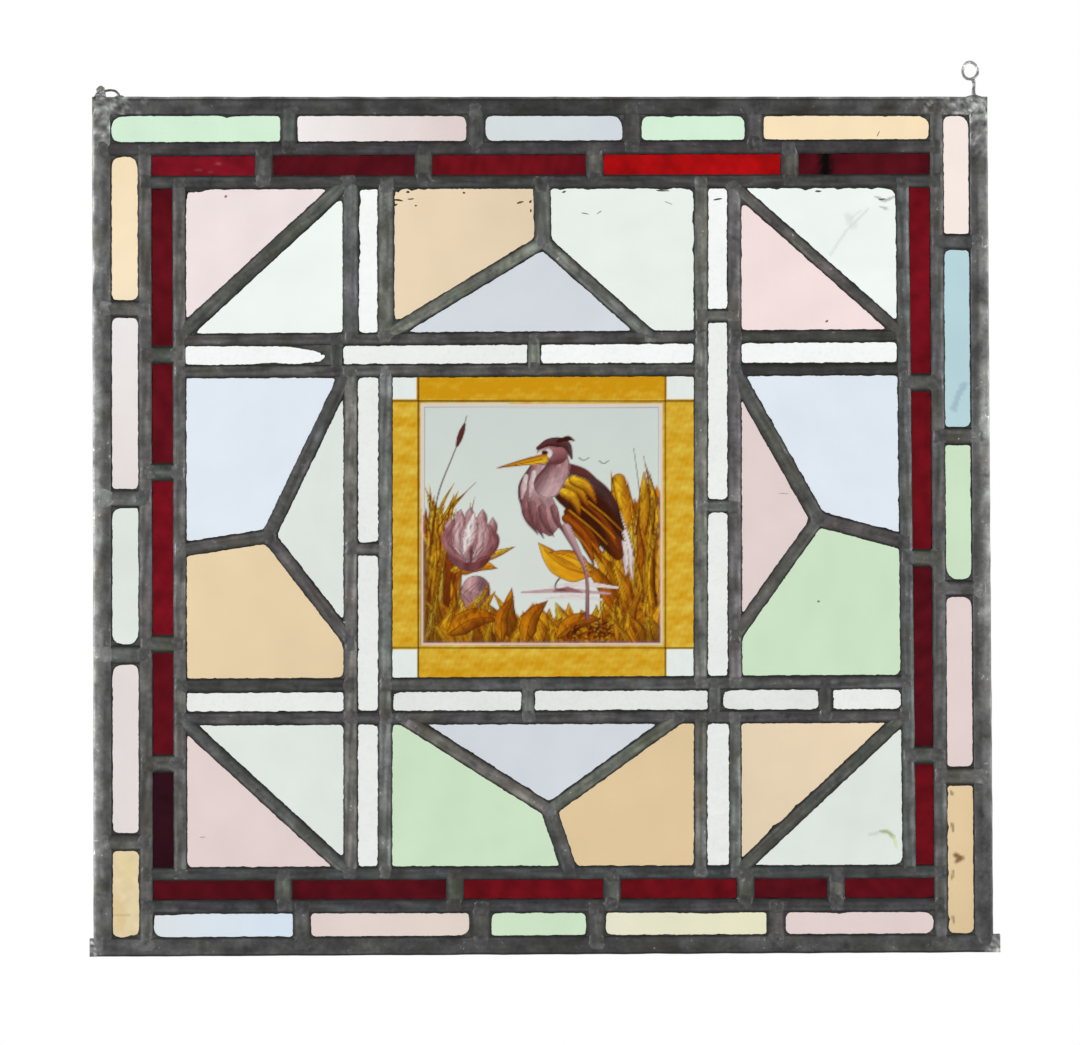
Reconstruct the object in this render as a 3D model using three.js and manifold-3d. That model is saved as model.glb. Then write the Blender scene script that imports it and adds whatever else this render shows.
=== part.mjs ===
// A small leaded stained glass panel: coloured glass in a lattice of lead cames, with a painted
// quarry in the middle, two rings of border glass, an outer lead border and two wire eyes on top.
// Millimetres, +Z up, front towards -Y. The origin is at the middle of the top edge, half way
// through the panel's thickness, where the panel hangs between its two eyes.

import * as THREE from "three";
import { mergeVertices } from "three/addons/utils/BufferGeometryUtils.js";
import Module from "manifold-3d";

// ---- sizes ----

const glassThick = 3.0;
const gap = 0.3; // room between a pane and its lead, filled with cement
const leafThick = 1.2;
const channel = glassThick + 2 * gap; // height of the slot that holds the glass
const leadThick = channel + 2 * leafThick; // 6 mm over both leaves
const heart = 1.5; // the web between the two leaves
const wallThick = 2.2; // the web of the outer border came
const borderLeaf = 9.0;
const leafEdge = { drop: 0.5, width: 0.6 }; // the worn slope along each leaf edge
const neckWidth = 3.0; // the bridge of glass that joins the panes of one run

const leafWidth = {
  ring: 6.3,
  inner: 6.1,
  fillet: 6.4,
  diagonal: 7.2,
  pastelCross: 8.7,
  rubyCross: 8.4,
  filletCross: 6.8,
};

const cornerRadius = { pastel: 2.8 };
const cornerSteps = 2;

// ---- leads: each runs on a straight line through two points (x, z) ----

const straight = (x1, z1, x2, z2) => ({ point: [x1, z1], along: [x2 - x1, z2 - z1] });

// The three insets say how far the pane, the slot and the daylight stay from the line.
const came = (leaf, ...ends) => ({
  ...straight(...ends),
  pane: heart / 2 + gap,
  slot: heart / 2,
  daylight: leaf / 2,
});

// The border came's line is its outer edge.
const border = (...ends) => ({
  ...straight(...ends),
  pane: wallThick + gap,
  slot: wallThick,
  daylight: borderLeaf,
});

const edge = {
  top: border(-223.75, 0, 223.5, 0),
  bottom: border(-223, -429.75, 226.5, -427.5),
  left: border(-223.75, 0, -223, -429.75),
  right: border(223.5, 0, 226.5, -427.5),
};

// Ring A parts the pastel border glass from the ruby, ring B parts the ruby from the field.
const ringA = {
  top: came(leafWidth.ring, -197.5, -26.25, 198, -24.75),
  bottom: came(leafWidth.ring, -196.75, -404.75, 200.25, -403.75),
  left: came(leafWidth.ring, -197.5, -26.25, -196.75, -404.75),
  right: came(leafWidth.ring, 197.9, 0, 200.5, -429),
};
const ringB = {
  top: came(leafWidth.inner, -180.5, -42.75, 181.1, -42),
  bottom: came(leafWidth.inner, -179.75, -388.5, 184.75, -387.25),
  left: came(leafWidth.inner, -180.5, -42.75, -179.75, -388.5),
  right: came(leafWidth.inner, 181.1, -42, 184.75, -387.25),
};

// Two pairs of upright and two pairs of level leads hold the narrow clear fillets.
const upright = {
  v1: came(leafWidth.fillet, -94.6, -42, -94.6, -388),
  v2: came(leafWidth.fillet, -77, -42, -77.5, -388),
  v3: came(leafWidth.fillet, 80.5, -42, 80.25, -388),
  v4: came(leafWidth.fillet, 97, -42, 97.75, -388),
};
const level = {
  h1: came(leafWidth.fillet, -180, -121.7, 183, -119.3),
  h2: came(leafWidth.fillet, -180, -137.3, 183, -135.9),
  h3: came(leafWidth.fillet, -180, -294.4, 184, -292.4),
  h4: came(leafWidth.fillet, -180, -310.8, 184, -309.4),
};

const diagonal = {
  topLeft: came(leafWidth.diagonal, -178.5, -118, -97.5, -43.5),
  topRight: came(leafWidth.diagonal, 99, -46.3, 182.5, -120),
  bottomLeft: came(leafWidth.diagonal, -177.5, -312.8, -96, -387.5),
  bottomRight: came(leafWidth.diagonal, 99, -387.1, 182.5, -308.6),
};

// Each middle block is parted by three leads that meet at one knot.
const threeLeads = (knot, ends) =>
  Object.fromEntries(
    Object.entries(ends).map(([name, end]) => [name, came(leafWidth.diagonal, ...knot, ...end)]),
  );
const topKnot = threeLeads([1.5, -72.3], { stem: [0.9, -42.5], left: [-73, -117.3], right: [55, -120] });
const bottomKnot = threeLeads([4.6, -356.5], { stem: [15, -388], left: [-70, -309.4], right: [70, -309.5] });
const leftKnot = threeLeads([-135.75, -219.5], { stem: [-180, -226.5], up: [-97, -139], down: [-95, -272] });
const rightKnot = threeLeads([139, -211], { stem: [184, -222.9], up: [98.5, -139.5], down: [98.5, -268] });

const acrossAt = (leaf, x) => came(leaf, x, 0, x, -430);
const levelAt = (leaf, z) => came(leaf, -225, z, 225, z);

// ---- outlines: a cell is the space round its seed point, inside the leads that bound it ----

const cutByLine = (points, lead, seed, inset) => {
  const [dx, dz] = lead.along;
  const length = Math.hypot(dx, dz);
  const side = (x, z) => ((x - lead.point[0]) * dz - (z - lead.point[1]) * dx) / length;
  const sign = Math.sign(side(...seed));
  const depth = points.map(([x, z]) => sign * side(x, z) - inset);
  return points.flatMap((from, i) => {
    const next = (i + 1) % points.length;
    const to = points[next];
    const kept = depth[i] >= 0 ? [from] : [];
    if (depth[i] >= 0 === depth[next] >= 0) return kept;
    const t = depth[i] / (depth[i] - depth[next]);
    return [...kept, [from[0] + t * (to[0] - from[0]), from[1] + t * (to[1] - from[1])]];
  });
};

const farAway = 1000;
const wholePlane = [[-farAway, -farAway], [farAway, -farAway], [farAway, farAway], [-farAway, farAway]];

const distance = (a, b) => Math.hypot(a[0] - b[0], a[1] - b[1]);

const shortestEdge = 0.4; // a shorter edge of an outline is dropped

const outline = (cell, insetName, extra = 0) => {
  const cut = (points, lead) => cutByLine(points, lead, cell.seed, lead[insetName] + extra);
  const points = cell.leads.reduce(cut, wholePlane);
  return points.filter((p, i) => distance(p, points[(i + 1) % points.length]) > shortestEdge);
};

// Each corner becomes a curve from one side to the next, flat steps along a parabola.
const roundCorners = (points, radius) => {
  const places = points.map((point) => new THREE.Vector2(...point));
  return places.flatMap((corner, i) => {
    const towards = (end) => corner.clone().lerp(end, radius / corner.distanceTo(end));
    const before = towards(places.at(i - 1));
    const after = towards(places[(i + 1) % places.length]);
    const bend = new THREE.QuadraticBezierCurve(before, corner, after);
    return bend.getPoints(cornerSteps).map((p) => [p.x, p.y]);
  });
};

// ---- solids ----

const wasm = await Module();
wasm.setup();

const toSolid = (geometry) => {
  const plain = geometry.clone();
  plain.deleteAttribute("normal");
  plain.deleteAttribute("uv");
  const merged = mergeVertices(plain, 1e-4);
  const vertProperties = new Float32Array(merged.attributes.position.array);
  const triVerts = new Uint32Array(merged.index.array);
  return new wasm.Manifold(new wasm.Mesh({ numProp: 3, vertProperties, triVerts }));
};

const toGeometry = (solid) => {
  const mesh = solid.getMesh();
  const geometry = new THREE.BufferGeometry();
  geometry.setAttribute("position", new THREE.BufferAttribute(mesh.vertProperties, 3));
  geometry.setIndex(new THREE.BufferAttribute(mesh.triVerts, 1));
  geometry.computeVertexNormals();
  return geometry;
};

const union = (solids) => solids.reduce((sum, solid) => sum.add(solid));
const subtractAll = (solid, cutters) => cutters.reduce((rest, cutter) => rest.subtract(cutter), solid);

const shapeOf = (points) => new THREE.Shape(points.map(([x, z]) => new THREE.Vector2(x, z)));

// An outline in (x, z), thick along Y and centred on the panel's mid plane.
const plate = (points, thick, options = {}) => {
  const bevel = options.bevelThickness ?? 0;
  const depth = thick - 2 * bevel;
  const geometry = new THREE.ExtrudeGeometry(shapeOf(points), { depth, bevelEnabled: false, ...options });
  return geometry.rotateX(Math.PI / 2).translate(0, depth / 2, 0);
};

// The daylight of one cell: straight between the leaf edges, and wider towards both faces.
const daylightCutter = (cell) => {
  const { drop: bevelThickness, width } = leafEdge;
  const corners = outline(cell, "daylight", -width);
  const points = cell.radius ? roundCorners(corners, cell.radius) : corners;
  const bevel = { bevelEnabled: true, bevelSegments: 1, bevelThickness, bevelSize: -width };
  return toSolid(plate(points, leadThick, bevel));
};

const slotCutter = (cell) => toSolid(plate(outline(cell, "slot"), channel));

const bridge = (cells, width, thick) => {
  const from = new THREE.Vector2(...cells[0].seed);
  const to = new THREE.Vector2(...cells.at(-1).seed);
  const half = to.clone().sub(from).rotateAround(new THREE.Vector2(), Math.PI / 2).setLength(width / 2);
  const corner = (end, sign) => [end.x + sign * half.x, end.y + sign * half.y];
  return toSolid(plate([corner(from, 1), corner(from, -1), corner(to, -1), corner(to, 1)], thick));
};

// ---- looks ----

const glass = (color, roughness = 0.08) =>
  new THREE.MeshStandardMaterial({ color, roughness, metalness: 0, transparent: true, opacity: 0.6 });
const lead = () => new THREE.MeshStandardMaterial({ color: 0x5a5d5c, roughness: 0.6, metalness: 0.7 });
const wire = () => new THREE.MeshStandardMaterial({ color: 0x6b6a66, roughness: 0.5, metalness: 0.8 });

const tint = {
  amber: 0xf0cfa0,
  pink: 0xecd6dc,
  blue: 0xd4dcec,
  skyBlue: 0xb4d8e6,
  green: 0xcdebcd,
  yellow: 0xeaeed0,
  clear: 0xe2eae2,
  stain: 0xd99a2b,
  ruby: 0x7c0f1e,
};

// ---- the panes ----

const window = new THREE.Group();

const add = (name, geometry, material) => {
  const mesh = new THREE.Mesh(geometry, material);
  mesh.name = name;
  window.add(mesh);
};

const allCells = [];
const bridgeSlots = [];

const cellOf = (seed, leads, radius = 0) => {
  const cell = { seed, leads, radius };
  allCells.push(cell);
  return cell;
};

const addPane = (name, color, seed, leads, radius) => {
  const cell = cellOf(seed, leads, radius);
  add(name, plate(outline(cell, "pane"), glassThick), glass(color));
};

// Panes in line share one node: narrow bridges of glass join them through the cross leads.
const addRun = (name, color, cells) => {
  const panes = cells.map((cell) => toSolid(plate(outline(cell, "pane"), glassThick)));
  if (cells.length > 1) {
    panes.push(bridge(cells, neckWidth, glassThick));
    bridgeSlots.push(bridge(cells, neckWidth + 2 * gap, channel));
  }
  add(name, toGeometry(union(panes)), glass(color));
};

const average = (...values) => values.reduce((sum, value) => sum + value, 0) / values.length;

// The line's z at an x, or its x at a z.
const heightAt = (lead, x) => lead.point[1] + ((x - lead.point[0]) * lead.along[1]) / lead.along[0];
const placeAt = (lead, z) => lead.point[0] + ((z - lead.point[1]) * lead.along[0]) / lead.along[1];

// A row lies between two level leads. It starts and ends at upright ones, with cross leads between.
const rowCells = (upper, lower, first, last, crosses, leaf, radius) => {
  const bounds = [first, ...crosses.map((x) => acrossAt(leaf, x)), last];
  return bounds.slice(1).map((right, i) => {
    const left = bounds[i];
    const middle = average(placeAt(left, -215), placeAt(right, -215));
    const seed = [middle, average(heightAt(upper, middle), heightAt(lower, middle))];
    return cellOf(seed, [upper, lower, left, right], radius);
  });
};

const columnCells = (left, right, first, last, crosses, leaf, radius) => {
  const bounds = [first, ...crosses.map((z) => levelAt(leaf, z)), last];
  return bounds.slice(1).map((lower, i) => {
    const upper = bounds[i];
    const middle = average(heightAt(upper, 0), heightAt(lower, 0));
    const seed = [average(placeAt(left, middle), placeAt(right, middle)), middle];
    return cellOf(seed, [upper, lower, left, right], radius);
  });
};

const { pastelCross, rubyCross, filletCross } = leafWidth;
const { pastel } = cornerRadius;

// Where the cross leads stand in each side of the pastel border: x along a row, z down a column.
const pastelCrosses = {
  top: [-125.5, -32, 46, 107],
  right: [-72.5, -169.5, -245.5, -339.5],
  bottom: [-119, -29.75, 28, 118],
  left: [-106, -200.75, -278.75, -372.5],
};
const pastelTints = {
  top: ["green", "pink", "blue", "green", "amber"],
  right: ["pink", "skyBlue", "green", "pink", "amber"],
  bottom: ["blue", "pink", "green", "yellow", "pink"],
  left: ["amber", "pink", "blue", "pink", "amber"],
};
const pastelBounds = {
  top: [rowCells, edge.top, ringA.top, edge.left, ringA.right],
  right: [columnCells, ringA.right, edge.right, edge.top, edge.bottom],
  bottom: [rowCells, ringA.bottom, edge.bottom, ringA.left, ringA.right],
  left: [columnCells, edge.left, ringA.left, ringA.top, edge.bottom],
};
Object.entries(pastelBounds).forEach(([side, [cellsBetween, ...bounds]]) => {
  const cells = cellsBetween(...bounds, pastelCrosses[side], pastelCross, pastel);
  cells.forEach((cell, i) => {
    const color = tint[pastelTints[side][i]];
    add(`border_glass_${side}_${i + 1}`, plate(outline(cell, "pane"), glassThick), glass(color));
  });
});

const rubyRuns = {
  top: rowCells(ringA.top, ringB.top, ringA.left, ringA.right, [-138, -58.25, 27.25, 124.75], rubyCross),
  right: columnCells(ringB.right, ringA.right, ringB.top, ringB.bottom, [-142.75, -230.5, -329], rubyCross),
  bottom: rowCells(
    ringB.bottom,
    ringA.bottom,
    ringA.left,
    ringA.right,
    [-128.25, -42.5, 36, 102.75, 148],
    rubyCross,
  ),
  left: columnCells(
    ringA.left,
    ringB.left,
    ringB.top,
    ringB.bottom,
    [-129, -187.5, -273.5, -333.25],
    rubyCross,
  ),
};
Object.entries(rubyRuns).forEach(([side, cells]) => addRun(`ruby_glass_${side}`, tint.ruby, cells));

const { v1, v2, v3, v4 } = upright;
const { h1, h2, h3, h4 } = level;
const h4Place = average(heightAt(h4, placeAt(v1, -310)), heightAt(h4, placeAt(v2, -310)));

// The left column's last cross lead is h4 itself, which runs on over the column.
const filletRuns = {
  column_left_upper: columnCells(v1, v2, ringB.top, h1, [], filletCross),
  column_left_lower: columnCells(v1, v2, h2, ringB.bottom, [-226, h4Place], filletCross),
  column_right_upper: columnCells(v3, v4, ringB.top, h3, [-109.5, -204.5], filletCross),
  column_right_lower: columnCells(v3, v4, h4, ringB.bottom, [], filletCross),
  row_top_left: rowCells(h1, h2, ringB.left, v3, [-101.75, -3], filletCross),
  row_top_right: rowCells(h1, h2, v4, ringB.right, [], filletCross),
  row_bottom_left: rowCells(h3, h4, ringB.left, v1, [], filletCross),
  row_bottom_right: rowCells(h3, h4, v2, ringB.right, [-6, 87.25, 142.5], filletCross),
};
Object.entries(filletRuns).forEach(([place, cells]) => addRun(`fillet_glass_${place}`, tint.clear, cells));

addPane("painted_quarry", tint.stain, [0, -215], [v2, v3, h2, h3]);

// A corner block has one pane on each side of its diagonal.
const corners = {
  top_left: { walls: [ringB.top, ringB.left, v1, h1], cut: diagonal.topLeft },
  top_right: { walls: [ringB.top, ringB.right, v4, h1], cut: diagonal.topRight },
  bottom_left: { walls: [ringB.bottom, ringB.left, v1, h4], cut: diagonal.bottomLeft },
  bottom_right: { walls: [ringB.bottom, ringB.right, v4, h4], cut: diagonal.bottomRight },
};
const cornerPanes = [
  ["top_left", "pink", [-160, -62]],
  ["top_left", "clear", [-114, -100]],
  ["top_right", "clear", [160, -62]],
  ["top_right", "pink", [117, -100]],
  ["bottom_left", "clear", [-114, -332]],
  ["bottom_left", "pink", [-160, -368]],
  ["bottom_right", "amber", [117, -332]],
  ["bottom_right", "clear", [160, -368]],
];
cornerPanes.forEach(([place, color, seed]) => {
  const { walls, cut } = corners[place];
  addPane(`corner_glass_${place}_${color}`, tint[color], seed, [...walls, cut]);
});

const middles = {
  top: [ringB.top, v2, v3, h1],
  bottom: [ringB.bottom, v2, v3, h4],
  left: [ringB.left, v1, h2, h3],
  right: [ringB.right, v4, h2, h3],
};
const middlePanes = [
  ["top", "amber", [-40, -65], [topKnot.stem, topKnot.left]],
  ["top", "clear", [45, -65], [topKnot.stem, topKnot.right]],
  ["top", "blue", [0, -105], [topKnot.left, topKnot.right]],
  ["left", "blue", [-155, -180], [leftKnot.stem, leftKnot.up]],
  ["left", "clear", [-110, -210], [leftKnot.up, leftKnot.down]],
  ["left", "amber", [-150, -265], [leftKnot.stem, leftKnot.down]],
  ["right", "blue", [155, -180], [rightKnot.stem, rightKnot.up]],
  ["right", "pink", [112, -205], [rightKnot.up, rightKnot.down]],
  ["right", "green", [150, -260], [rightKnot.stem, rightKnot.down]],
  ["bottom", "blue", [0, -325], [bottomKnot.left, bottomKnot.right]],
  ["bottom", "green", [-45, -365], [bottomKnot.stem, bottomKnot.left]],
  ["bottom", "amber", [50, -360], [bottomKnot.stem, bottomKnot.right]],
];
middlePanes.forEach(([place, color, seed, cuts]) =>
  addPane(`field_glass_${place}_${color}`, tint[color], seed, [...middles[place], ...cuts]),
);

// ---- the lead lattice: a plate less each cell's daylight and its slot for the glass ----

const withinBorder = { seed: [0, -215], leads: Object.values(edge) };
const latticeOutline = outline(withinBorder, "daylight", gap);

// The plate's own four corners lie in open glass, so a small square is cut away round each.
const cornerCutter = ([x, z]) => {
  const half = cornerRadius.pastel;
  const square = [[x - half, z - half], [x + half, z - half], [x + half, z + half], [x - half, z + half]];
  return toSolid(plate(square, leadThick));
};

const latticeCutters = [
  ...allCells.flatMap((cell) => [daylightCutter(cell), slotCutter(cell)]),
  ...bridgeSlots,
  ...latticeOutline.map(cornerCutter),
];
const latticePlate = toSolid(plate(latticeOutline, leadThick));
add("lead_lattice", toGeometry(subtractAll(latticePlate, latticeCutters)), lead());

// ---- the outer border cames ----

// A U section, open inwards: u runs in from the outer edge, v through the thickness.
const halfThick = leadThick / 2;
const halfSlot = channel / 2;
const { drop, width } = leafEdge;
const borderSection = [
  [0, -halfThick + drop],
  [width, -halfThick],
  [borderLeaf - width, -halfThick],
  [borderLeaf, -halfThick + drop],
  [borderLeaf, -halfSlot],
  [wallThick, -halfSlot],
  [wallThick, halfSlot],
  [borderLeaf, halfSlot],
  [borderLeaf, halfThick - drop],
  [borderLeaf - width, halfThick],
  [width, halfThick],
  [0, halfThick - drop],
];
const tongueSection = [
  [0, -glassThick / 2],
  [wallThick, -glassThick / 2],
  [wallThick, glassThick / 2],
  [0, glassThick / 2],
];

// Carries a section (u, v) along the edge from one distance to another, u pointing inwards.
const alongEdge = (section, lead, inwards, from, to) => {
  const run = new THREE.Vector3(lead.along[0], 0, lead.along[1]).normalize();
  const across = new THREE.Vector3(inwards[0], 0, inwards[1]);
  across.addScaledVector(run, -across.dot(run)).normalize();
  const through = new THREE.Vector3().crossVectors(run, across);
  const place = new THREE.Matrix4().makeBasis(across, through, run);
  place.setPosition(new THREE.Vector3(lead.point[0], 0, lead.point[1]).addScaledVector(run, from));
  const geometry = new THREE.ExtrudeGeometry(shapeOf(section), { depth: to - from, bevelEnabled: false });
  return geometry.applyMatrix4(place);
};

const lengthOf = (lead) => Math.hypot(...lead.along);
const foot = { left: 2, right: 3.5 }; // how far the bottom came stands out past the sides
add("border_came_top", alongEdge(borderSection, edge.top, [0, -1], 0, lengthOf(edge.top)), lead());
add(
  "border_came_bottom",
  alongEdge(borderSection, edge.bottom, [0, 1], -foot.left, lengthOf(edge.bottom) + foot.right),
  lead(),
);

// A side came stands between the other two, with its web running on into their slots.
const addSideCame = (name, outerEdge, inwards) => {
  const length = lengthOf(outerEdge);
  const start = borderLeaf + gap;
  const tongue = wallThick + gap;
  const body = toSolid(alongEdge(borderSection, outerEdge, inwards, start, length - start));
  const web = toSolid(alongEdge(tongueSection, outerEdge, inwards, tongue, length - tongue));
  add(name, toGeometry(body.add(web)), lead());
};
addSideCame("border_came_left", edge.left, [1, 0]);
addSideCame("border_came_right", edge.right, [-1, 0]);

// ---- the hanging eyes: bent wire in a lump of solder on the top edge ----

const wireSides = 6;
const ringSteps = 16;

const rodAlong = (points, radius, steps) => {
  const path = new THREE.CatmullRomCurve3(points.map(([x, z]) => new THREE.Vector3(x, 0, z)));
  const section = new THREE.Shape();
  section.absarc(0, 0, radius, 0, 2 * Math.PI);
  const options = { steps, bevelEnabled: false, extrudePath: path, curveSegments: wireSides / 2 };
  return toSolid(new THREE.ExtrudeGeometry(section, options));
};

const lump = ([x, z], [width, thick, height]) =>
  toSolid(new THREE.SphereGeometry(0.5, 8, 5).scale(width, thick, height).translate(x, 0, z));

// Cuts away what would reach into the top came.
const aboveEdge = (solid) => {
  const size = 40;
  const room = new THREE.BoxGeometry(size, size, size).translate(0, 0, size / 2 + gap);
  return (x) => solid.intersect(toSolid(room.clone().translate(x, 0, 0)));
};

const rightEye = {
  center: [215, 13.1],
  wire: 0.7,
  mean: [3.75, 4.25], // half width and half height of the ring, to the middle of the wire
  shank: [[216.4, 9.3], [216.9, 6.2], [216.6, 3.2], [217.2, 0.2]],
};
const ring = toSolid(
  new THREE.TorusGeometry(1, rightEye.wire / average(...rightEye.mean), wireSides, ringSteps)
    .rotateX(Math.PI / 2)
    .scale(rightEye.mean[0], average(...rightEye.mean), rightEye.mean[1])
    .translate(rightEye.center[0], 0, rightEye.center[1]),
);
const rightSolid = union([ring, rodAlong(rightEye.shank, rightEye.wire, 6), lump([217, 0.2], [7, 5, 2.4])]);
add("hanging_eye_right", toGeometry(aboveEdge(rightSolid)(215)), wire());

// The left eye is crushed flat: its wire lies bent along the edge beside the lump.
const leftEye = {
  wire: 0.6,
  bent: [[-219.5, 3.4], [-216.5, 3.9], [-213.2, 3.4], [-211, 2.0], [-210.2, 0.2]],
};
const leftSolid = union([
  rodAlong(leftEye.bent, leftEye.wire, 8),
  lump([-219.6, 1.6], [4.4, 5.2, 6.4]),
  lump([-210.2, 0], [4, 4, 2]),
]);
add("hanging_eye_left", toGeometry(aboveEdge(leftSolid)(-215)), wire());

export default window;
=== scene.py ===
# Leaded glass panel, dressed round its CAD frame. Metres, front towards -Y, top edge at z = 0.
import bpy
import bmesh
import math
import numpy as np
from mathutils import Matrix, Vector


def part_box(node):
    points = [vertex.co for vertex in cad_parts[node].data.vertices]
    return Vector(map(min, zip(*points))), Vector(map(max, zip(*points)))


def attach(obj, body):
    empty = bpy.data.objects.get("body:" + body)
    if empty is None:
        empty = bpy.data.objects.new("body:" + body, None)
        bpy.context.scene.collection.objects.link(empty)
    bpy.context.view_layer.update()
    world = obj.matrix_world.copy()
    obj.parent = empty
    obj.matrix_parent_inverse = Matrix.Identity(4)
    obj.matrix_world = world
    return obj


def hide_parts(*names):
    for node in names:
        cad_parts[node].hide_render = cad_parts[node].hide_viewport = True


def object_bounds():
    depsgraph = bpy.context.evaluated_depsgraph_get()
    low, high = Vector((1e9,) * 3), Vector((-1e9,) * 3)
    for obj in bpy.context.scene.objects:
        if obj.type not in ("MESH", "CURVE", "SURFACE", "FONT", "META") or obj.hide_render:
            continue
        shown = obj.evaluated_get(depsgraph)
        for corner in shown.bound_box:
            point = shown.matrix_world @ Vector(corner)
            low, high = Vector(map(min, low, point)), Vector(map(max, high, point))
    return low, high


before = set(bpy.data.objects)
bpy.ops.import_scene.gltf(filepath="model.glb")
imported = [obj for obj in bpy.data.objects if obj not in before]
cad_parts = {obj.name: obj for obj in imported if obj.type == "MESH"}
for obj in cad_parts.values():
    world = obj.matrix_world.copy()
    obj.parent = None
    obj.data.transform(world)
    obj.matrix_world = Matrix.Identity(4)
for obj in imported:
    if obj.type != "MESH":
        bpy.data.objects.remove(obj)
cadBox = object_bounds()
nodeNames = sorted(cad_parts)
mm = 0.001

# Small helpers for node trees.


def newMaterial(name):
    # a node material, with its tree and its main shader
    material = bpy.data.materials.new(name)
    material.use_nodes = True
    tree = material.node_tree
    return material, tree, tree.nodes["Principled BSDF"]


def noiseNode(tree, scale, detail=4.0, rough=0.55, stretch=(1, 1, 1)):
    # noise on Object coordinates, each first multiplied by its stretch; about 0 to 1
    coord, mapping = tree.nodes.new("ShaderNodeTexCoord"), tree.nodes.new("ShaderNodeMapping")
    noise = tree.nodes.new("ShaderNodeTexNoise")
    mapping.inputs["Scale"].default_value = stretch
    noise.inputs["Scale"].default_value = scale
    noise.inputs["Detail"].default_value = detail
    noise.inputs["Roughness"].default_value = rough
    tree.links.new(coord.outputs["Object"], mapping.inputs[0])
    tree.links.new(mapping.outputs[0], noise.inputs[0])
    return noise.outputs["Fac"]


def mathNode(tree, operation, a, b=None):
    # one sum of a and b, each a number or a socket
    node = tree.nodes.new("ShaderNodeMath")
    node.operation = operation
    for slot, value in zip(node.inputs, (a, b)):
        if isinstance(value, (int, float)):
            slot.default_value = value
        elif value is not None:
            tree.links.new(value, slot)
    return node.outputs[0]


def rangeNode(tree, value, low, high, toLow=0.0, toHigh=1.0):
    # low to high carried evenly on to toLow to toHigh, and held at those ends
    node = tree.nodes.new("ShaderNodeMapRange")
    for key, number in zip(("From Min", "From Max", "To Min", "To Max"), (low, high, toLow, toHigh)):
        node.inputs[key].default_value = number
    tree.links.new(value, node.inputs["Value"])
    return node.outputs[0]


def mixColors(tree, factor, a, b, blend="MIX"):
    # a x (1 - factor) + b x factor, or a x b when the blend is MULTIPLY and the factor 1
    node = tree.nodes.new("ShaderNodeMix")
    node.data_type, node.blend_type = "RGBA", blend
    for key, value in (("Factor", factor), ("A", a), ("B", b)):
        found = [s for s in node.inputs if s.name == key and s.enabled][0]
        if hasattr(value, "default_value") or hasattr(value, "links"):
            tree.links.new(value, found)
        else:
            found.default_value = value if key == "Factor" else (*value, 1)
    return [s for s in node.outputs if s.enabled][0]


def attributeNode(tree, name):
    # a colour that the mesh carries
    node = tree.nodes.new("ShaderNodeAttribute")
    node.attribute_name = name
    return node.outputs["Color"]


def bumpInto(tree, shader, height, strength, distance):
    # fine relief: the height tips the shader's normal
    bump = tree.nodes.new("ShaderNodeBump")
    bump.inputs["Strength"].default_value = strength
    bump.inputs["Distance"].default_value = distance
    tree.links.new(height, bump.inputs["Height"])
    tree.links.new(bump.outputs[0], shader.inputs["Normal"])


# Camera, light and floor.

view = {
    "distance": 3.0,       # a long lens, straight on
    "width": 540 * mm,     # what the picture spans at the panel, wide and high
    "height": 522.5 * mm,
    "topRoom": 48.5 * mm,  # white above the top edge
    "sensor": 36.0,
}


def makeCamera():
    # straight on: focal length = sensor x distance / width spanned
    data = bpy.data.cameras.new("viewCamera")
    data.sensor_width = view["sensor"]
    data.lens = view["sensor"] * view["distance"] / view["width"]
    camera = bpy.data.objects.new("viewCamera", data)
    bpy.context.collection.objects.link(camera)
    camera.location = (0, -view["distance"], view["topRoom"] - view["height"] / 2)
    camera.rotation_euler = (math.radians(90), 0, 0)
    bpy.context.scene.camera = camera


studio = {
    "seen": 1.0,       # white that shows behind and through the glass
    "fill": 0.36,      # soft light from all round
    "overhead": 0.42,  # a little more of it from above
    "frontShare": 0.12,  # how much of it comes from straight in front, which the glass would mirror
    "frontCone": (-0.975, -0.88),  # y of a ray's direction, from that share to all of the light
    "horizon": -0.3,   # z of a ray's direction, below which there is only the fill
    "middle": (0, 0, -0.215),  # what the lamps face
    "floorColor": (0.82, 0.82, 0.81, 1),
    "floorRoughness": 0.8,
    "floorDrop": 0.75,
    "floorHalf": 7.5,
    "lamps": [  # place, width, power
        ((-2.7, -1.5, 0.3), 1.1, 78),
        ((2.7, -1.4, 0.0), 1.1, 56),
        ((0.3, -2.5, -2.1), 1.2, 12),
        ((1.9, 2.4, 0.9), 1.0, 34),
    ],
}


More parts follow.
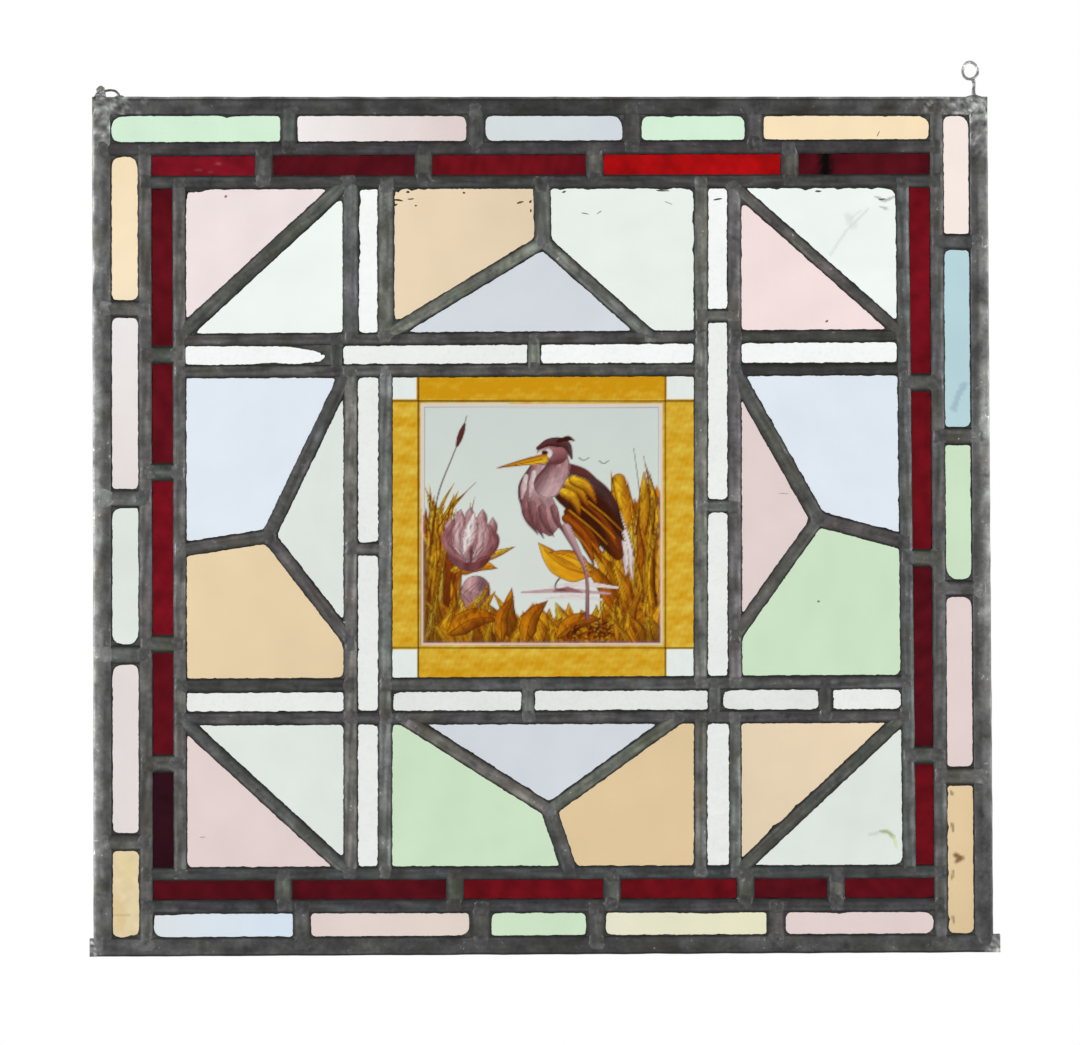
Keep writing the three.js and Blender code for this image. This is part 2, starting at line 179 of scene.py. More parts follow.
def makeStudio():
    # plain white for what the camera sees, also through glass, and for all else a soft light:
    # (fill to overhead, by height) x (frontShare to 1, by how far a ray is from straight ahead)
    world = bpy.data.worlds.new("softStudio")
    bpy.context.scene.world = world
    world.use_nodes = True
    tree = world.node_tree
    tree.nodes.clear()
    put, link = tree.nodes.new, tree.links.new
    path, coord, split = put("ShaderNodeLightPath"), put("ShaderNodeTexCoord"), put("ShaderNodeSeparateXYZ")
    white, soft = put("ShaderNodeBackground"), put("ShaderNodeBackground")
    mix, out = put("ShaderNodeMixShader"), put("ShaderNodeOutputWorld")
    for background in (white, soft):
        background.inputs["Color"].default_value = (1, 1, 1, 1)
    white.inputs["Strength"].default_value = studio["seen"]
    link(coord.outputs["Generated"], split.inputs[0])
    overhead = rangeNode(tree, split.outputs["Z"], studio["horizon"], 1, studio["fill"], studio["overhead"])
    front = rangeNode(tree, split.outputs["Y"], *studio["frontCone"], studio["frontShare"], 1)
    link(mathNode(tree, "MULTIPLY", overhead, front), soft.inputs["Strength"])
    seen = mathNode(tree, "MAXIMUM", path.outputs["Is Camera Ray"], path.outputs["Is Transmission Ray"])
    for source, socket in zip((seen, soft.outputs[0], white.outputs[0]), mix.inputs):
        link(source, socket)
    link(mix.outputs[0], out.inputs[0])
    middle = np.array(studio["middle"])
    for i, (place, width, power) in enumerate(studio["lamps"]):
        data = bpy.data.lights.new(f"softLamp{i}", "AREA")
        data.size, data.energy = width, power
        lamp = bpy.data.objects.new(f"softLamp{i}", data)
        bpy.context.collection.objects.link(lamp)
        lamp.location = place
        lamp.rotation_euler = Vector(middle - np.array(place)).to_track_quat("-Z", "Y").to_euler()
    half, low = studio["floorHalf"], cadBox[0][2] - studio["floorDrop"]
    floor = bpy.data.meshes.new("paleFloor")
    square = [(-half, -half, low), (half, -half, low), (half, half, low), (-half, half, low)]
    floor.from_pydata(square, [], [(0, 1, 2, 3)])
    floorObject = bpy.data.objects.new("paleFloor", floor)
    bpy.context.collection.objects.link(floorObject)
    material, _, shader = newMaterial("paleFloor")
    shader.inputs["Base Color"].default_value = studio["floorColor"]
    shader.inputs["Roughness"].default_value = studio["floorRoughness"]
    floor.materials.append(material)


makeCamera()
makeStudio()
bpy.context.scene.view_settings.view_transform = "Standard"
print("camera and studio ready")

# Meshes from whole arrays.

rng = np.random.default_rng(1887)


def seenLevel(level, low=0.3, high=1.9):
    # brightness as the eye steps it, turned into a plain multiplier: level to the power 2.2
    return np.clip(level, low, high) ** 2.2


def toLinear(color):
    # the usual screen curve undone, for colours given as they look
    c = np.asarray(color, float) / 255
    return np.where(c <= 0.04045, c / 12.92, ((c + 0.055) / 1.055) ** 2.4)


def makePiece(name, points, quads, material, caps=(), nodes=(), colors=None, weld=0.0, sharp=40):
    # points and quads are whole arrays; caps are single faces with more corners
    mesh = bpy.data.meshes.new(name)
    loops = np.concatenate([quads.ravel(), *[np.asarray(c) for c in caps]]).astype(np.int32)
    totals = np.concatenate([np.full(len(quads), 4), [len(c) for c in caps]]).astype(np.int32)
    starts = np.concatenate([[0], np.cumsum(totals)[:-1]]).astype(np.int32)
    mesh.vertices.add(len(points))
    mesh.vertices.foreach_set("co", np.asarray(points, np.float32).ravel())
    mesh.loops.add(len(loops))
    mesh.loops.foreach_set("vertex_index", loops)
    mesh.polygons.add(len(totals))
    mesh.polygons.foreach_set("loop_start", starts)
    mesh.polygons.foreach_set("loop_total", totals)
    mesh.update(calc_edges=True)
    for key, values in (colors or {}).items():
        layer = mesh.color_attributes.new(key, "FLOAT_COLOR", "POINT")
        rgba = np.ones((len(points), 4), np.float32)
        rgba[:, :3] = np.asarray(values).reshape(len(points), -1)
        layer.data.foreach_set("color", rgba.ravel())
    if weld:
        shell = bmesh.new()
        shell.from_mesh(mesh)
        bmesh.ops.remove_doubles(shell, verts=shell.verts, dist=weld)
        bmesh.ops.dissolve_degenerate(shell, edges=shell.edges, dist=weld)
        bmesh.ops.recalc_face_normals(shell, faces=shell.faces)
        shell.to_mesh(mesh)
        shell.free()
    mesh.shade_smooth()
    mesh.set_sharp_from_angle(angle=math.radians(sharp))
    mesh.materials.append(material)
    piece = bpy.data.objects.new(name, mesh)
    bpy.context.collection.objects.link(piece)
    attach(piece, "root")
    if nodes:
        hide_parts(*nodes)
    return piece


def gridQuads(rows, columns, wrapRows=False, wrapColumns=False):
    # every cell of a grid of points, row by row, as four corner numbers
    i = np.arange(rows if wrapRows else rows - 1)[:, None]
    j = np.arange(columns if wrapColumns else columns - 1)[None, :]
    a = i * columns + j
    b = i * columns + (j + 1) % columns
    c = ((i + 1) % rows) * columns + (j + 1) % columns
    d = ((i + 1) % rows) * columns + j
    return np.stack([a + 0 * b, b + 0 * a, c, d], -1).reshape(-1, 4)


def endCaps(rows, columns):
    # the first row of a grid, turned round, and its last row, as one face each
    return [np.arange(columns)[::-1], (rows - 1) * columns + np.arange(columns)]


def gridRim(rows, columns):
    # the corner numbers round a grid: along the first row, up the last column, back, and down
    i, j = np.arange(rows), np.arange(columns)
    return np.concatenate([j, i[1:] * columns + columns - 1, (rows - 1) * columns + j[::-1][1:],
                           i[::-1][1:-1] * columns])


def joinParts(parts):
    # several (points, quads, caps, colour) shells as one, their corner numbers moved on
    points, quads, caps, colors, start = [], [], [], [], 0
    for p, q, c, k in parts:
        points.append(p)
        quads.append(q + start)
        caps += [np.asarray(x) + start for x in c]
        colors.append(k)
        start += len(p)
    return np.concatenate(points), np.concatenate(quads), caps, np.concatenate(colors)


def ripple(x, z, seed, size, octaves=3):
    # a sum of plane waves with random headings, so it is smooth and the same each run; about -1 to 1
    draw = np.random.default_rng(seed)
    total = np.zeros(np.broadcast(x, z).shape)
    for k in range(octaves):
        for _ in range(4):
            angle, phase = draw.uniform(0, math.tau, 2)
            reach = math.tau / (size / 1.9**k) * draw.uniform(0.7, 1.3)
            total += 0.5**k * np.sin(reach * (x * math.cos(angle) + z * math.sin(angle)) + phase)
    return total / 4


def sway(s, seed, size):
    # the ripple along a line alone
    return ripple(s, 0 * s, seed, size)


def grays(level, low=0.3, high=1.9):
    # one gray per point, as bright as its level looks
    return np.repeat(seenLevel(level, low, high).reshape(-1, 1), 3, 1)


def makeToned(name, shells, material, node="lead_lattice"):
    # toned shells joined into one piece, which stands in for the node
    points, quads, caps, tones = joinParts(shells)
    makePiece(name, points, quads, material, caps, [node], {"tone": tones})


# Outlines of the panes, from the frame.


def frontOutline(node):
    # the border of the node's front face: the edges that only one front triangle has, put in order
    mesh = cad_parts[node].data
    mesh.calc_loop_triangles()
    corners = np.array([v.co for v in mesh.vertices])
    faces = np.array([t.vertices for t in mesh.loop_triangles])
    keys = np.round(corners * 1e5).astype(int)
    unique, index = np.unique(keys, axis=0, return_inverse=True)
    index = index.ravel()
    flat = (keys[faces][:, :, 1] == keys[:, 1].min()).all(1)
    follow = {}
    pairs = {(a, b) for t in index[faces[flat]] for a, b in zip(t, np.roll(t, -1))}
    for a, b in pairs:
        if (b, a) not in pairs:
            follow[a] = b
    loop = [min(follow)]
    while follow[loop[-1]] != loop[0]:
        loop.append(follow[loop[-1]])
    ring = unique[loop][:, [0, 2]] * 1e-5
    return straighten(ring if area(ring) > 0 else ring[::-1])


def area(ring):
    # half the sum of each corner crossed with the next one: positive when it runs anticlockwise
    following = np.roll(ring, -1, 0)
    return 0.5 * np.sum(ring[:, 0] * following[:, 1] - ring[:, 1] * following[:, 0])


def turns(ring):
    # the sine of the turn at each corner, positive to the left
    back, ahead = ring - np.roll(ring, 1, 0), np.roll(ring, -1, 0) - ring
    cross = back[:, 0] * ahead[:, 1] - back[:, 1] * ahead[:, 0]
    return cross / (np.linalg.norm(back, axis=1) * np.linalg.norm(ahead, axis=1))


leastTurn = 0.008  # the sine of about half a degree


def straighten(ring):
    # the straightest corner is dropped, again and again, until all turn more than the least turn
    while np.abs(turns(ring)).min() < leastTurn:
        ring = np.delete(ring, np.abs(turns(ring)).argmin(), 0)
    return ring


def panesOf(node):
    # one convex outline per pane: a run is parted where the corners turn inwards, at its bridges
    ring = frontOutline(node)
    inward = turns(ring) < 0
    if not inward.any():
        return [ring]
    along = int(np.argmax(np.ptp(ring, axis=0)))
    bridges = np.sort(ring[inward][:, along]).reshape(-1, 4).mean(1)
    outer = ring[~inward]
    group = np.searchsorted(bridges, outer[:, along])
    return [outer[group == g] for g in range(len(bridges) + 1)]


def kindOf(node):
    # the first word of a pane's name
    return node.split("_")[0]


kinds = ["border", "ruby", "fillet", "corner", "field", "painted"]
paneNodes = [n for n in nodeNames if kindOf(n) in kinds and "came" not in n]
panes = [(n, i, ring) for n in paneNodes for i, ring in enumerate(panesOf(n))]
print(len(panes), "panes in", len(paneNodes), "nodes")

# Materials.


leadLook = {
    "dark": (44, 45, 44),
    "pale": (116, 117, 116),
    "earth": (66, 62, 50),      # cement and dirt rubbed into it
    "bloom": (186, 188, 186),   # painted glints: the brightest specks on the lead
    "metallic": 0.3,
}


def makeLeadMaterial(name, brightness=1.0, glintThreshold=0.63, roughness=0.5):
    # dull oxidised lead: mottling, earthy patches and bright flecks that are painted glints, all under the
    # tone the mesh carries
    material, tree, shader = newMaterial(name)
    broad, fine = noiseNode(tree, 110, 5, 0.6), noiseNode(tree, 430, 3, 0.6)
    patches, spots = noiseNode(tree, 42, 5, 0.65), noiseNode(tree, 520, 3, 0.6)
    mottle = mathNode(tree, "ADD", mathNode(tree, "MULTIPLY", broad, 0.75),
                      mathNode(tree, "MULTIPLY", fine, 0.25))
    base = mixColors(tree, rangeNode(tree, mottle, 0.3, 0.72), toLinear(leadLook["dark"]) * brightness,
                     toLinear(leadLook["pale"]) * brightness)
    earthy = mixColors(tree, mathNode(tree, "MULTIPLY", rangeNode(tree, patches, 0.52, 0.66), 0.65), base,
                       toLinear(leadLook["earth"]) * brightness)
    # bright flecks where a fine noise peaks over the lighter mottling: painted glints
    bright = mathNode(tree, "MULTIPLY", rangeNode(tree, spots, glintThreshold, glintThreshold + 0.09),
                      rangeNode(tree, broad, 0.5, 0.62))
    withGlints = mixColors(tree, mathNode(tree, "MULTIPLY", bright, 0.8), earthy,
                       toLinear(leadLook["bloom"]) * brightness)
    toned = mixColors(tree, 1.0, withGlints, attributeNode(tree, "tone"), "MULTIPLY")
    tree.links.new(toned, shader.inputs["Base Color"])
    tree.links.new(rangeNode(tree, broad, 0.35, 0.65, roughness + 0.1, roughness - 0.08),
                   shader.inputs["Roughness"])
    shader.inputs["Metallic"].default_value = leadLook["metallic"]
    bumpInto(tree, shader, mathNode(tree, "ADD", fine, mathNode(tree, "MULTIPLY", broad, 2.0)), 0.55, 0.0003)
    return material


def makeCementMaterial():
    # black glazing cement, crumbly, with the lead's grey on its outer side carried by the mesh
    material, tree, shader = newMaterial("glazingCement")
    grain = noiseNode(tree, 700, 4, 0.7)
    speckle = mixColors(tree, rangeNode(tree, grain, 0.35, 0.7), (0.45, 0.45, 0.42), (1.25, 1.25, 1.2))
    tree.links.new(mixColors(tree, 1.0, attributeNode(tree, "tone"), speckle, "MULTIPLY"),
                   shader.inputs["Base Color"])
    shader.inputs["Roughness"].default_value = 0.85
    bumpInto(tree, shader, grain, 0.8, 0.0003)
    return material


def makeGlassMaterial(name, roughness, cloud=0.05, fleck=0.0, gloss=0.5):
    # see-through by plain values; its colour is the mesh's tint, a little uneven as old sheet glass is
    material, tree, shader = newMaterial(name)
    drift = noiseNode(tree, 9, 2, 0.5, (1, 1, 2.2))
    streaks = noiseNode(tree, 60, 3, 0.6, (1, 1, 0.25))
    uneven = mathNode(tree, "ADD", mathNode(tree, "MULTIPLY", drift, 0.7),
                      mathNode(tree, "MULTIPLY", streaks, 0.3))
    level = rangeNode(tree, uneven, 0.3, 0.7, 1 - cloud, 1 + cloud * 0.4)
    if fleck:
        specks = rangeNode(tree, noiseNode(tree, 420, 2, 0.5), 0.5, 0.72)
        level = mathNode(tree, "SUBTRACT", level, mathNode(tree, "MULTIPLY", specks, fleck))
    gray = tree.nodes.new("ShaderNodeCombineColor")
    for channel in gray.inputs:
        tree.links.new(level, channel)
    tinted = mixColors(tree, 1.0, attributeNode(tree, "tint"), gray.outputs[0], "MULTIPLY")
    tree.links.new(tinted, shader.inputs["Base Color"])
    shader.inputs["Roughness"].default_value = roughness
    shader.inputs["Transmission Weight"].default_value = 1.0
    shader.inputs["IOR"].default_value = 1.52
    shader.inputs["Specular IOR Level"].default_value = gloss
    bumpInto(tree, shader, noiseNode(tree, 130, 2, 0.5), 0.12, 0.0002)
    return material


lead = makeLeadMaterial("dullLead", 1.0, 0.65)
borderLead = makeLeadMaterial("borderLead", 1.0, 0.63)
solder = makeLeadMaterial("greySolder", 1.05, 0.66, 0.45)
wireMetal = makeLeadMaterial("tinnedWire", 1.25, 0.55, 0.4)
cement = makeCementMaterial()
sheetGlass = makeGlassMaterial("sheetGlass", 0.03)
filletGlass = makeGlassMaterial("filletGlass", 0.12, 0.03, 0.05)
rubyGlass = makeGlassMaterial("rubyGlass", 0.03, 0.22, 0.0, 0.12)
paintedGlass = makeGlassMaterial("paintedGlass", 0.06, 0.03)
print("materials ready")

# Panes.

glassHalf = 1.5 * mm
glassTints = {
    "mint": (213, 240, 214), "fern": (205, 227, 197), "rose": (240, 227, 226), "blush": (226, 209, 206),
    "peach": (247, 234, 227), "mist": (224, 232, 241), "haze": (211, 217, 223), "sky": (184, 213, 220),
    "honey": (247, 226, 188), "tawny": (223, 198, 157), "sand": (230, 208, 170), "ice": (241, 248, 244),
    "frost": (223, 230, 224), "bright": (246, 249, 247), "plain": (234, 236, 234), "ruby": (108, 15, 25),
    "wine": (85, 15, 25), "claret": (96, 15, 25), "scarlet": (170, 12, 15), "garnet": (118, 16, 28),
    "maroon": (48, 15, 26), "oat": (222, 209, 198), "straw": (233, 231, 197), "chalk": (238, 234, 233),
    "azure": (214, 229, 243), "steel": (213, 221, 222), "petal": (244, 224, 222), "snow": (233, 241, 234),
    "butter": (246, 228, 196), "biscuit": (230, 210, 180), "slip": (230, 228, 204), "shell": (228, 219, 217),
    "wheat": (225, 206, 166), "sleet": (221, 227, 230), "cerise": (130, 20, 36), "linen": (228, 230, 227),
    "pale": (238, 240, 237),
}
glassGain = 1.05  # makes up for what the two faces of a pane mirror away
paneTints = {
    "border_glass_top": ["mint", "chalk blush", "steel haze", "mint", "honey"],
    "border_glass_right": ["peach", "sky", "fern", "blush", "tawny"],
    "border_glass_bottom": ["sleet azure", "blush oat", "fern", "slip straw", "blush"],
    "border_glass_left": ["honey butter", "chalk shell", "frost", "shell", "wheat"],
    "ruby_glass_top": ["cerise", "wine", "ruby", "scarlet", "wine"],
    "ruby_glass_right": ["ruby", "wine", "ruby", "garnet"],
    "ruby_glass_bottom": ["wine", "wine", "ruby", "ruby", "wine", "claret"],
    "ruby_glass_left": ["maroon", "claret", "garnet", "claret", "claret"],
    "corner_glass_top_left_clear": ["ice"], "corner_glass_top_left_pink": ["rose"],
    "corner_glass_top_right_clear": ["ice"], "corner_glass_top_right_pink": ["petal"],
    "corner_glass_bottom_left_clear": ["frost"], "corner_glass_bottom_left_pink": ["blush"],
    "corner_glass_bottom_right_clear": ["frost"], "corner_glass_bottom_right_amber": ["biscuit"],
    "field_glass_top_amber": ["biscuit"], "field_glass_top_clear": ["snow"],
    "field_glass_top_blue": ["haze"], "field_glass_left_blue": ["mist"], "field_glass_left_clear": ["frost"],
    "field_glass_left_amber": ["sand"], "field_glass_right_blue": ["mist"],
    "field_glass_right_pink": ["blush"], "field_glass_right_green": ["fern"],
    "field_glass_bottom_blue": ["haze"], "field_glass_bottom_green": ["fern"],
    "field_glass_bottom_amber": ["tawny"], "fillet_glass": ["bright", "plain"],
}
filletSplit = -140 * mm  # the first fillet tint is for those above this height, the second for those below
filletTints = {
    # fillets that look a little darker or lighter than their neighbours
    ("fillet_glass_row_top_left", 1): "pale", ("fillet_glass_column_right_upper", 1): "pale",
    ("fillet_glass_row_bottom_right", 0): "linen", ("fillet_glass_row_bottom_right", 1): "linen",
    ("fillet_glass_row_bottom_right", 2): "linen",
}


def tintOf(node, i):
    # the colours of a pane's two ends, from its own entry; numbered nodes carry its place in their name
    if node.startswith("fillet"):
        ring = [r for n, k, r in panes if (n, k) == (node, i)][0]
        row = filletTints.get((node, i), paneTints["fillet_glass"][int(ring[:, 1].mean() < filletSplit)])
    else:
        name, _, number = node.rpartition("_")
        row = paneTints[name][int(number) - 1] if number.isdigit() else paneTints[node][i]
    names = row.split()
    return np.minimum(toLinear([glassTints[names[0]], glassTints[names[-1]]]) * glassGain, 1)


def chains(ring):
    # the ring's lower and upper sides, each from the left end to the right end
    slack = 0.04 * np.ptp(ring[:, 0])
    left, right = ring[:, 0].argmin(), ring[:, 0].argmax()
    n = len(ring)

    def stretch(end, step):
        # the end itself, or the next corner where the side between them is nearly upright
        other = (end + step) % n
        near = abs(ring[other, 0] - ring[end, 0]) < min(slack, 0.15 * abs(ring[other, 1] - ring[end, 1]))
        return other if near else end

    def path(a, b):
        # the corners from a round to b
        return ring[[(a + k) % n for k in range((b - a) % n + 1)]]

    return path(stretch(left, 1), stretch(right, -1)), path(stretch(right, 1), stretch(left, -1))[::-1]


def chainAt(chain, t):
    # points along a chain, evenly by their share of its width
    if len(chain) == 1:
        return np.repeat(chain, len(t), 0)
    share = (chain[:, 0] - chain[0, 0]) / (chain[-1, 0] - chain[0, 0])
    return np.stack([np.interp(t, share, chain[:, 0]), np.interp(t, share, chain[:, 1])], -1)


def ruledSheet(lower, upper, t, rows):
    # each point is (1 - v) x its place on the lower side + v x its place on the upper side
    v = np.linspace(0, 1, rows)[:, None, None]
    sheet = (1 - v) * chainAt(lower, t)[None] + v * chainAt(upper, t)[None]
    return sheet[..., 0], sheet[..., 1]


def paneShell(ring, seed, paint, step=(3 * mm, 3 * mm), waves=(0.05 * mm, 24 * mm), relief=None):
    # a ruled sheet twice over, at minus and plus half the glass, each with its own waves; then the rim
    lower, upper = chains(ring)
    knots = np.concatenate([(c[:, 0] - c[0, 0]) / max(np.ptp(c[:, 0]), 1e-9) for c in (lower, upper)])
    count = max(int(np.ptp(ring[:, 0]) / step[0]), 6)
    t = np.unique(np.round(np.concatenate([np.linspace(0, 1, count + 1), knots]), 5))
    x, z = ruledSheet(lower, upper, t, max(int(np.ptp(ring[:, 1]) / step[1]), 4) + 1)
    front = -glassHalf + waves[0] * ripple(x, z, seed, waves[1])
    back = glassHalf + waves[0] * ripple(x, z, seed + 1, waves[1] * 1.3)
    if relief:
        front = front - relief(x)
    points = np.concatenate([np.stack([x, y, z], -1).reshape(-1, 3) for y in (front, back)])
    quads, rim, n = gridQuads(*x.shape), gridRim(*x.shape), x.size
    after = np.roll(rim, -1)
    sides = np.stack([rim, rim + n, after + n, after], -1)
    return points, np.concatenate([quads, quads[:, ::-1] + n, sides]), [], paint(points)


def pieceName(node, end="Pane"):
    # the node's words run together
    words = node.split("_")
    return words[0] + "".join(w.capitalize() for w in words[1:]) + end


paneSlopeAndShadow = {
    # panes lighter or darker to one side: how much lighter to the right and upwards, over half the pane; on
    # the top amber and top blue field panes this is a painted shadow
    "field_glass_top_amber": (-0.05, 0.0), "field_glass_top_blue": (0.0, -0.03),
    "border_glass_top_2": (-0.05, 0.0),
    "field_glass_left_amber": (-0.02, 0.02), "corner_glass_bottom_right_amber": (0.03, 0.03),
    "border_glass_right_5": (-0.04, 0.05),
}


paneMarks = {
    # old damage and dirt, by pane and number: each mark's path (x, z) and half width in mm, colour, strength
    ("border_glass_right_5", 0): [
        ([(207.5, -379), (211, -380.5), (208.5, -382)], 1.6, (118, 84, 44), 0.9),
        ([(205.8, -347), (206, -349)], 0.7, (96, 74, 44), 0.8),
        ([(206, -363), (206.4, -367)], 0.8, (104, 84, 48), 0.8),
        ([(206.4, -387), (206, -391)], 0.7, (110, 88, 50), 0.7),
        ([(206.4, -410), (207, -413)], 0.8, (122, 96, 40), 0.7),
    ],
    ("border_glass_right_2", 0): [
        ([(212, -144), (209, -149), (207, -156)], 2.2, (150, 176, 190), 0.6),
    ],
    ("border_glass_left_5", 0): [
        ([(-207, -381), (-205.6, -386), (-206, -391)], 3.2, (229, 213, 158), 0.7),
        ([(-212, -402), (-209.6, -409), (-210, -414)], 4.2, (226, 200, 148), 0.7),
        ([(-203.4, -402), (-204.4, -408), (-206, -415)], 2.4, (229, 217, 174), 0.8),
        ([(-213, -409.2), (-205, -409)], 0.5, (190, 164, 116), 0.5),
    ],
    ("corner_glass_bottom_right_clear", 0): [
        ([(170.5, -367), (174, -367.4), (176.6, -370)], 1.2, (150, 164, 98), 0.8),
        ([(176.6, -370), (178, -374.5)], 1.0, (200, 222, 150), 0.7),
        ([(165, -368.6), (169, -368)], 1.2, (202, 208, 198), 0.6),
    ],
    ("corner_glass_top_right_clear", 0): [
        ([(164, -56), (153, -67), (145, -79)], 0.7, (210, 218, 212), 0.6),
        ([(160, -57), (155, -61)], 0.6, (214, 222, 216), 0.5),
        ([(154, -60), (156.5, -64)], 3.0, (222, 230, 224), 0.6),
        ([(168, -50), (172, -52), (177, -50)], 0.8, (128, 134, 128), 0.7),
        ([(170, -55), (174, -56)], 0.7, (140, 146, 140), 0.6),
    ],
    ("ruby_glass_top", 4): [
        ([(142.6, -28), (142.6, -39)], 4.6, (10, 8, 8), 1.0),
    ],
    ("ruby_glass_top", 0): [
        ([(-161.5, -33), (-160, -33.6)], 0.9, (176, 84, 98), 0.7),
        ([(-172, -36.6), (-169, -37)], 0.7, (160, 70, 84), 0.5),
        ([(-165, -37.4), (-163, -37)], 0.6, (160, 70, 84), 0.5),
    ],
}


def distanceToPath(points, path):
    # the least distance to any stretch of the path
    least = np.full(len(points), np.inf)
    for a, b in zip(path[:-1], path[1:]):
        t = np.clip((points - a) @ (b - a) / ((b - a) @ (b - a)), 0, 1)[:, None]
        least = np.minimum(least, np.hypot(*(points - a - t * (b - a)).T))
    return least


def distanceTo(place, ends):
    # the same for one place and one stretch
    return distanceToPath(place[None], ends)[0]


def unevenPaint(node, i, ring, seed, cloud=0.02, reach=30 * mm, fade=0.0, edge=0.0):
    # (tint from end to end) x (1 + slope + soft clouds - painted shade darkening to the ends and edges), then
    # the marks
    middle, half = (ring.max(0) + ring.min(0)) / 2, np.ptp(ring, axis=0) / 2
    along = int(half[1] > half[0])
    ends, drift = tintOf(node, i), np.array(paneSlopeAndShadow.get(node, (0, 0)))

    def paint(points):
        # the colour at each point of the shell
        flat = points[:, [0, 2]]
        share = (flat - middle) / half
        level = 1 + share @ drift + cloud * ripple(flat[:, 0], flat[:, 1], seed + 7, reach)
        level -= fade * np.abs(share[:, along]) ** 3 + edge * np.abs(share[:, 1 - along]) ** 3
        way = np.clip(0.5 + (-0.5 if along else 0.5) * share[:, along], 0, 1)[:, None]
        color = np.clip(level, 0.3, 1.6)[:, None] * (ends[0] * (1 - way) + ends[1] * way)
        for path, width, seen, strength in paneMarks.get((node, i), []):
            far = distanceToPath(flat, np.array(path) * mm) / (width * mm)
            ragged = 0.45 * ripple(flat[:, 0], flat[:, 1], seed + 8, 3 * mm)
            mask = strength * np.clip(1.6 * (1 - far) + ragged, 0, 1)[:, None]
            color = color * (1 - mask) + toLinear(seen) * mask
        return np.minimum(color, 1)

    return paint


ribs = {"pane": ("fillet_glass_row_top_left", 2), "height": 0.16 * mm, "spacing": 2.6 * mm}


def ribHeight(x):
    # height x cosine of the way along, once round for each rib
    return ribs["height"] * np.cos(math.tau * x / ribs["spacing"])


def makePanes():
    # one piece for each node, from the shells of its panes
    seed = 100
    for node in paneNodes:
        if node == "painted_quarry":
            continue
        shells = []
        for i, ring in [(k, r) for n, k, r in panes if n == node]:
            seed += 10
            options = {}
            paint = unevenPaint(node, i, ring, seed)
            if (node, i) in paneMarks:
                options["step"] = (0.9 * mm, 0.9 * mm)
            if node.startswith("ruby"):
                options["step"] = (1 * mm, 1 * mm)
                # ruby panes painted darker towards their ends and long edges: shade beside the leads
                paint = unevenPaint(node, i, ring, seed, 0.24, 14 * mm, 0.22, 0.18)
            if node == "border_glass_left_5":
                paint = unevenPaint(node, i, ring, seed, 0.07, 9 * mm)
            if node.startswith("fillet"):
                options = {"step": (1.5 * mm, 1.5 * mm), "waves": (0.09 * mm, 9 * mm)}
                if (node, i) == ribs["pane"]:
                    options["step"] = (0.4 * mm, 4 * mm)
                    options["relief"] = ribHeight
            shells.append(paneShell(ring, seed, paint, **options))
        points, quads, caps, tints = joinParts(shells)
        material = {"ruby": rubyGlass, "fillet": filletGlass}.get(kindOf(node), sheetGlass)
        makePiece(pieceName(node), points, quads, material, caps, [node], {"tint": tints},
                  weld=0.002 * mm)


makePanes()
print("panes ready")

# The lead lines, found from the panes' edges.

leadSizes = {
    "paneInset": 1.05 * mm,     # from a came's middle line to the glass
    "borderInset": 2.5 * mm,    # from the panel's outer edge to the glass
    "borderLeaf": 9.0 * mm,
    "crest": 3.0 * mm,          # half the thickness at the middle of a leaf
    "tip": 2.3 * mm,            # and at its edge
    "under": 1.75 * mm,         # the leaf's inner face
    "heart": 0.75 * mm,
    "plainLeaf": 7 * mm,        # the leaf over a side too short to have a lead of its own
    "station": 2.8 * mm,        # from one section to the next along a came
    "wobble": 0.13 * mm,        # how far it strays from its line
    "nick": 0.16 * mm,          # how deep its edges are nicked
    "joinGap": 4.5 * mm,        # edges closer than this along one line are one lead
    "leastEdge": 3 * mm,        # shorter pane edges make no lead
    "runOn": 1.6 * mm,          # how far a lead runs past its last pane
    "stopShort": 3 * mm,        # and how far it stops short under the border's leaf
}
rimLine = {"side": 214 * mm, "top": -6 * mm, "bottom": -422 * mm}  # past these a place is at the panel's rim
leafWidths = {
    "ring": 6.3 * mm, "inner": 6.1 * mm, "fillet": 6.4 * mm, "diagonal": 6.35 * mm,
    "pastelCross": 8.6 * mm, "rubyCross": 8.4 * mm, "filletCross": 5.9 * mm,
}
leafExceptions = [
    # the lead whose middle is near (x, z) shows this wide, all in mm
    (-138, -81, 7.1), (138, -81, 5.5), (37, -333, 6.1), (9.5, -372, 7.1), (160, -216, 7.1), (118, -240, 6.1),
    (118, -174, 7.1), (1, -57, 7.8), (-77, -81, 7.6), (-95, -81, 7.3), (97, -348, 5.5), (80, -348, 5.9),
    (-50, -120, 5.8), (-50, -136, 6.0), (139, -136, 5.7), (139, -119, 5.7), (2, -310, 6.1),
    (-210, -106, 7.8), (-210, -278, 9.2), (-209, -372, 8.0), (210, -72, 7.1), (211, -245, 7.8),
    (211, -169, 8.2), (-30, -415, 10.2), (-125, -13, 7.7), (-119, -416, 8.1), (28, -415, 9.0),
]


def lineKind(names):
    # which lead parts these kinds of glass
    kind = {"border", "ruby", "fillet"} & names
    if {"border", "ruby"} <= names:
        return "ring"
    if kind == {"border"}:
        return "pastelCross"
    if "ruby" in kind:
        return "rubyCross" if names == {"ruby"} else "inner"
    if "fillet" in kind:
        return "filletCross" if names == {"fillet"} else "fillet"
    return "diagonal"


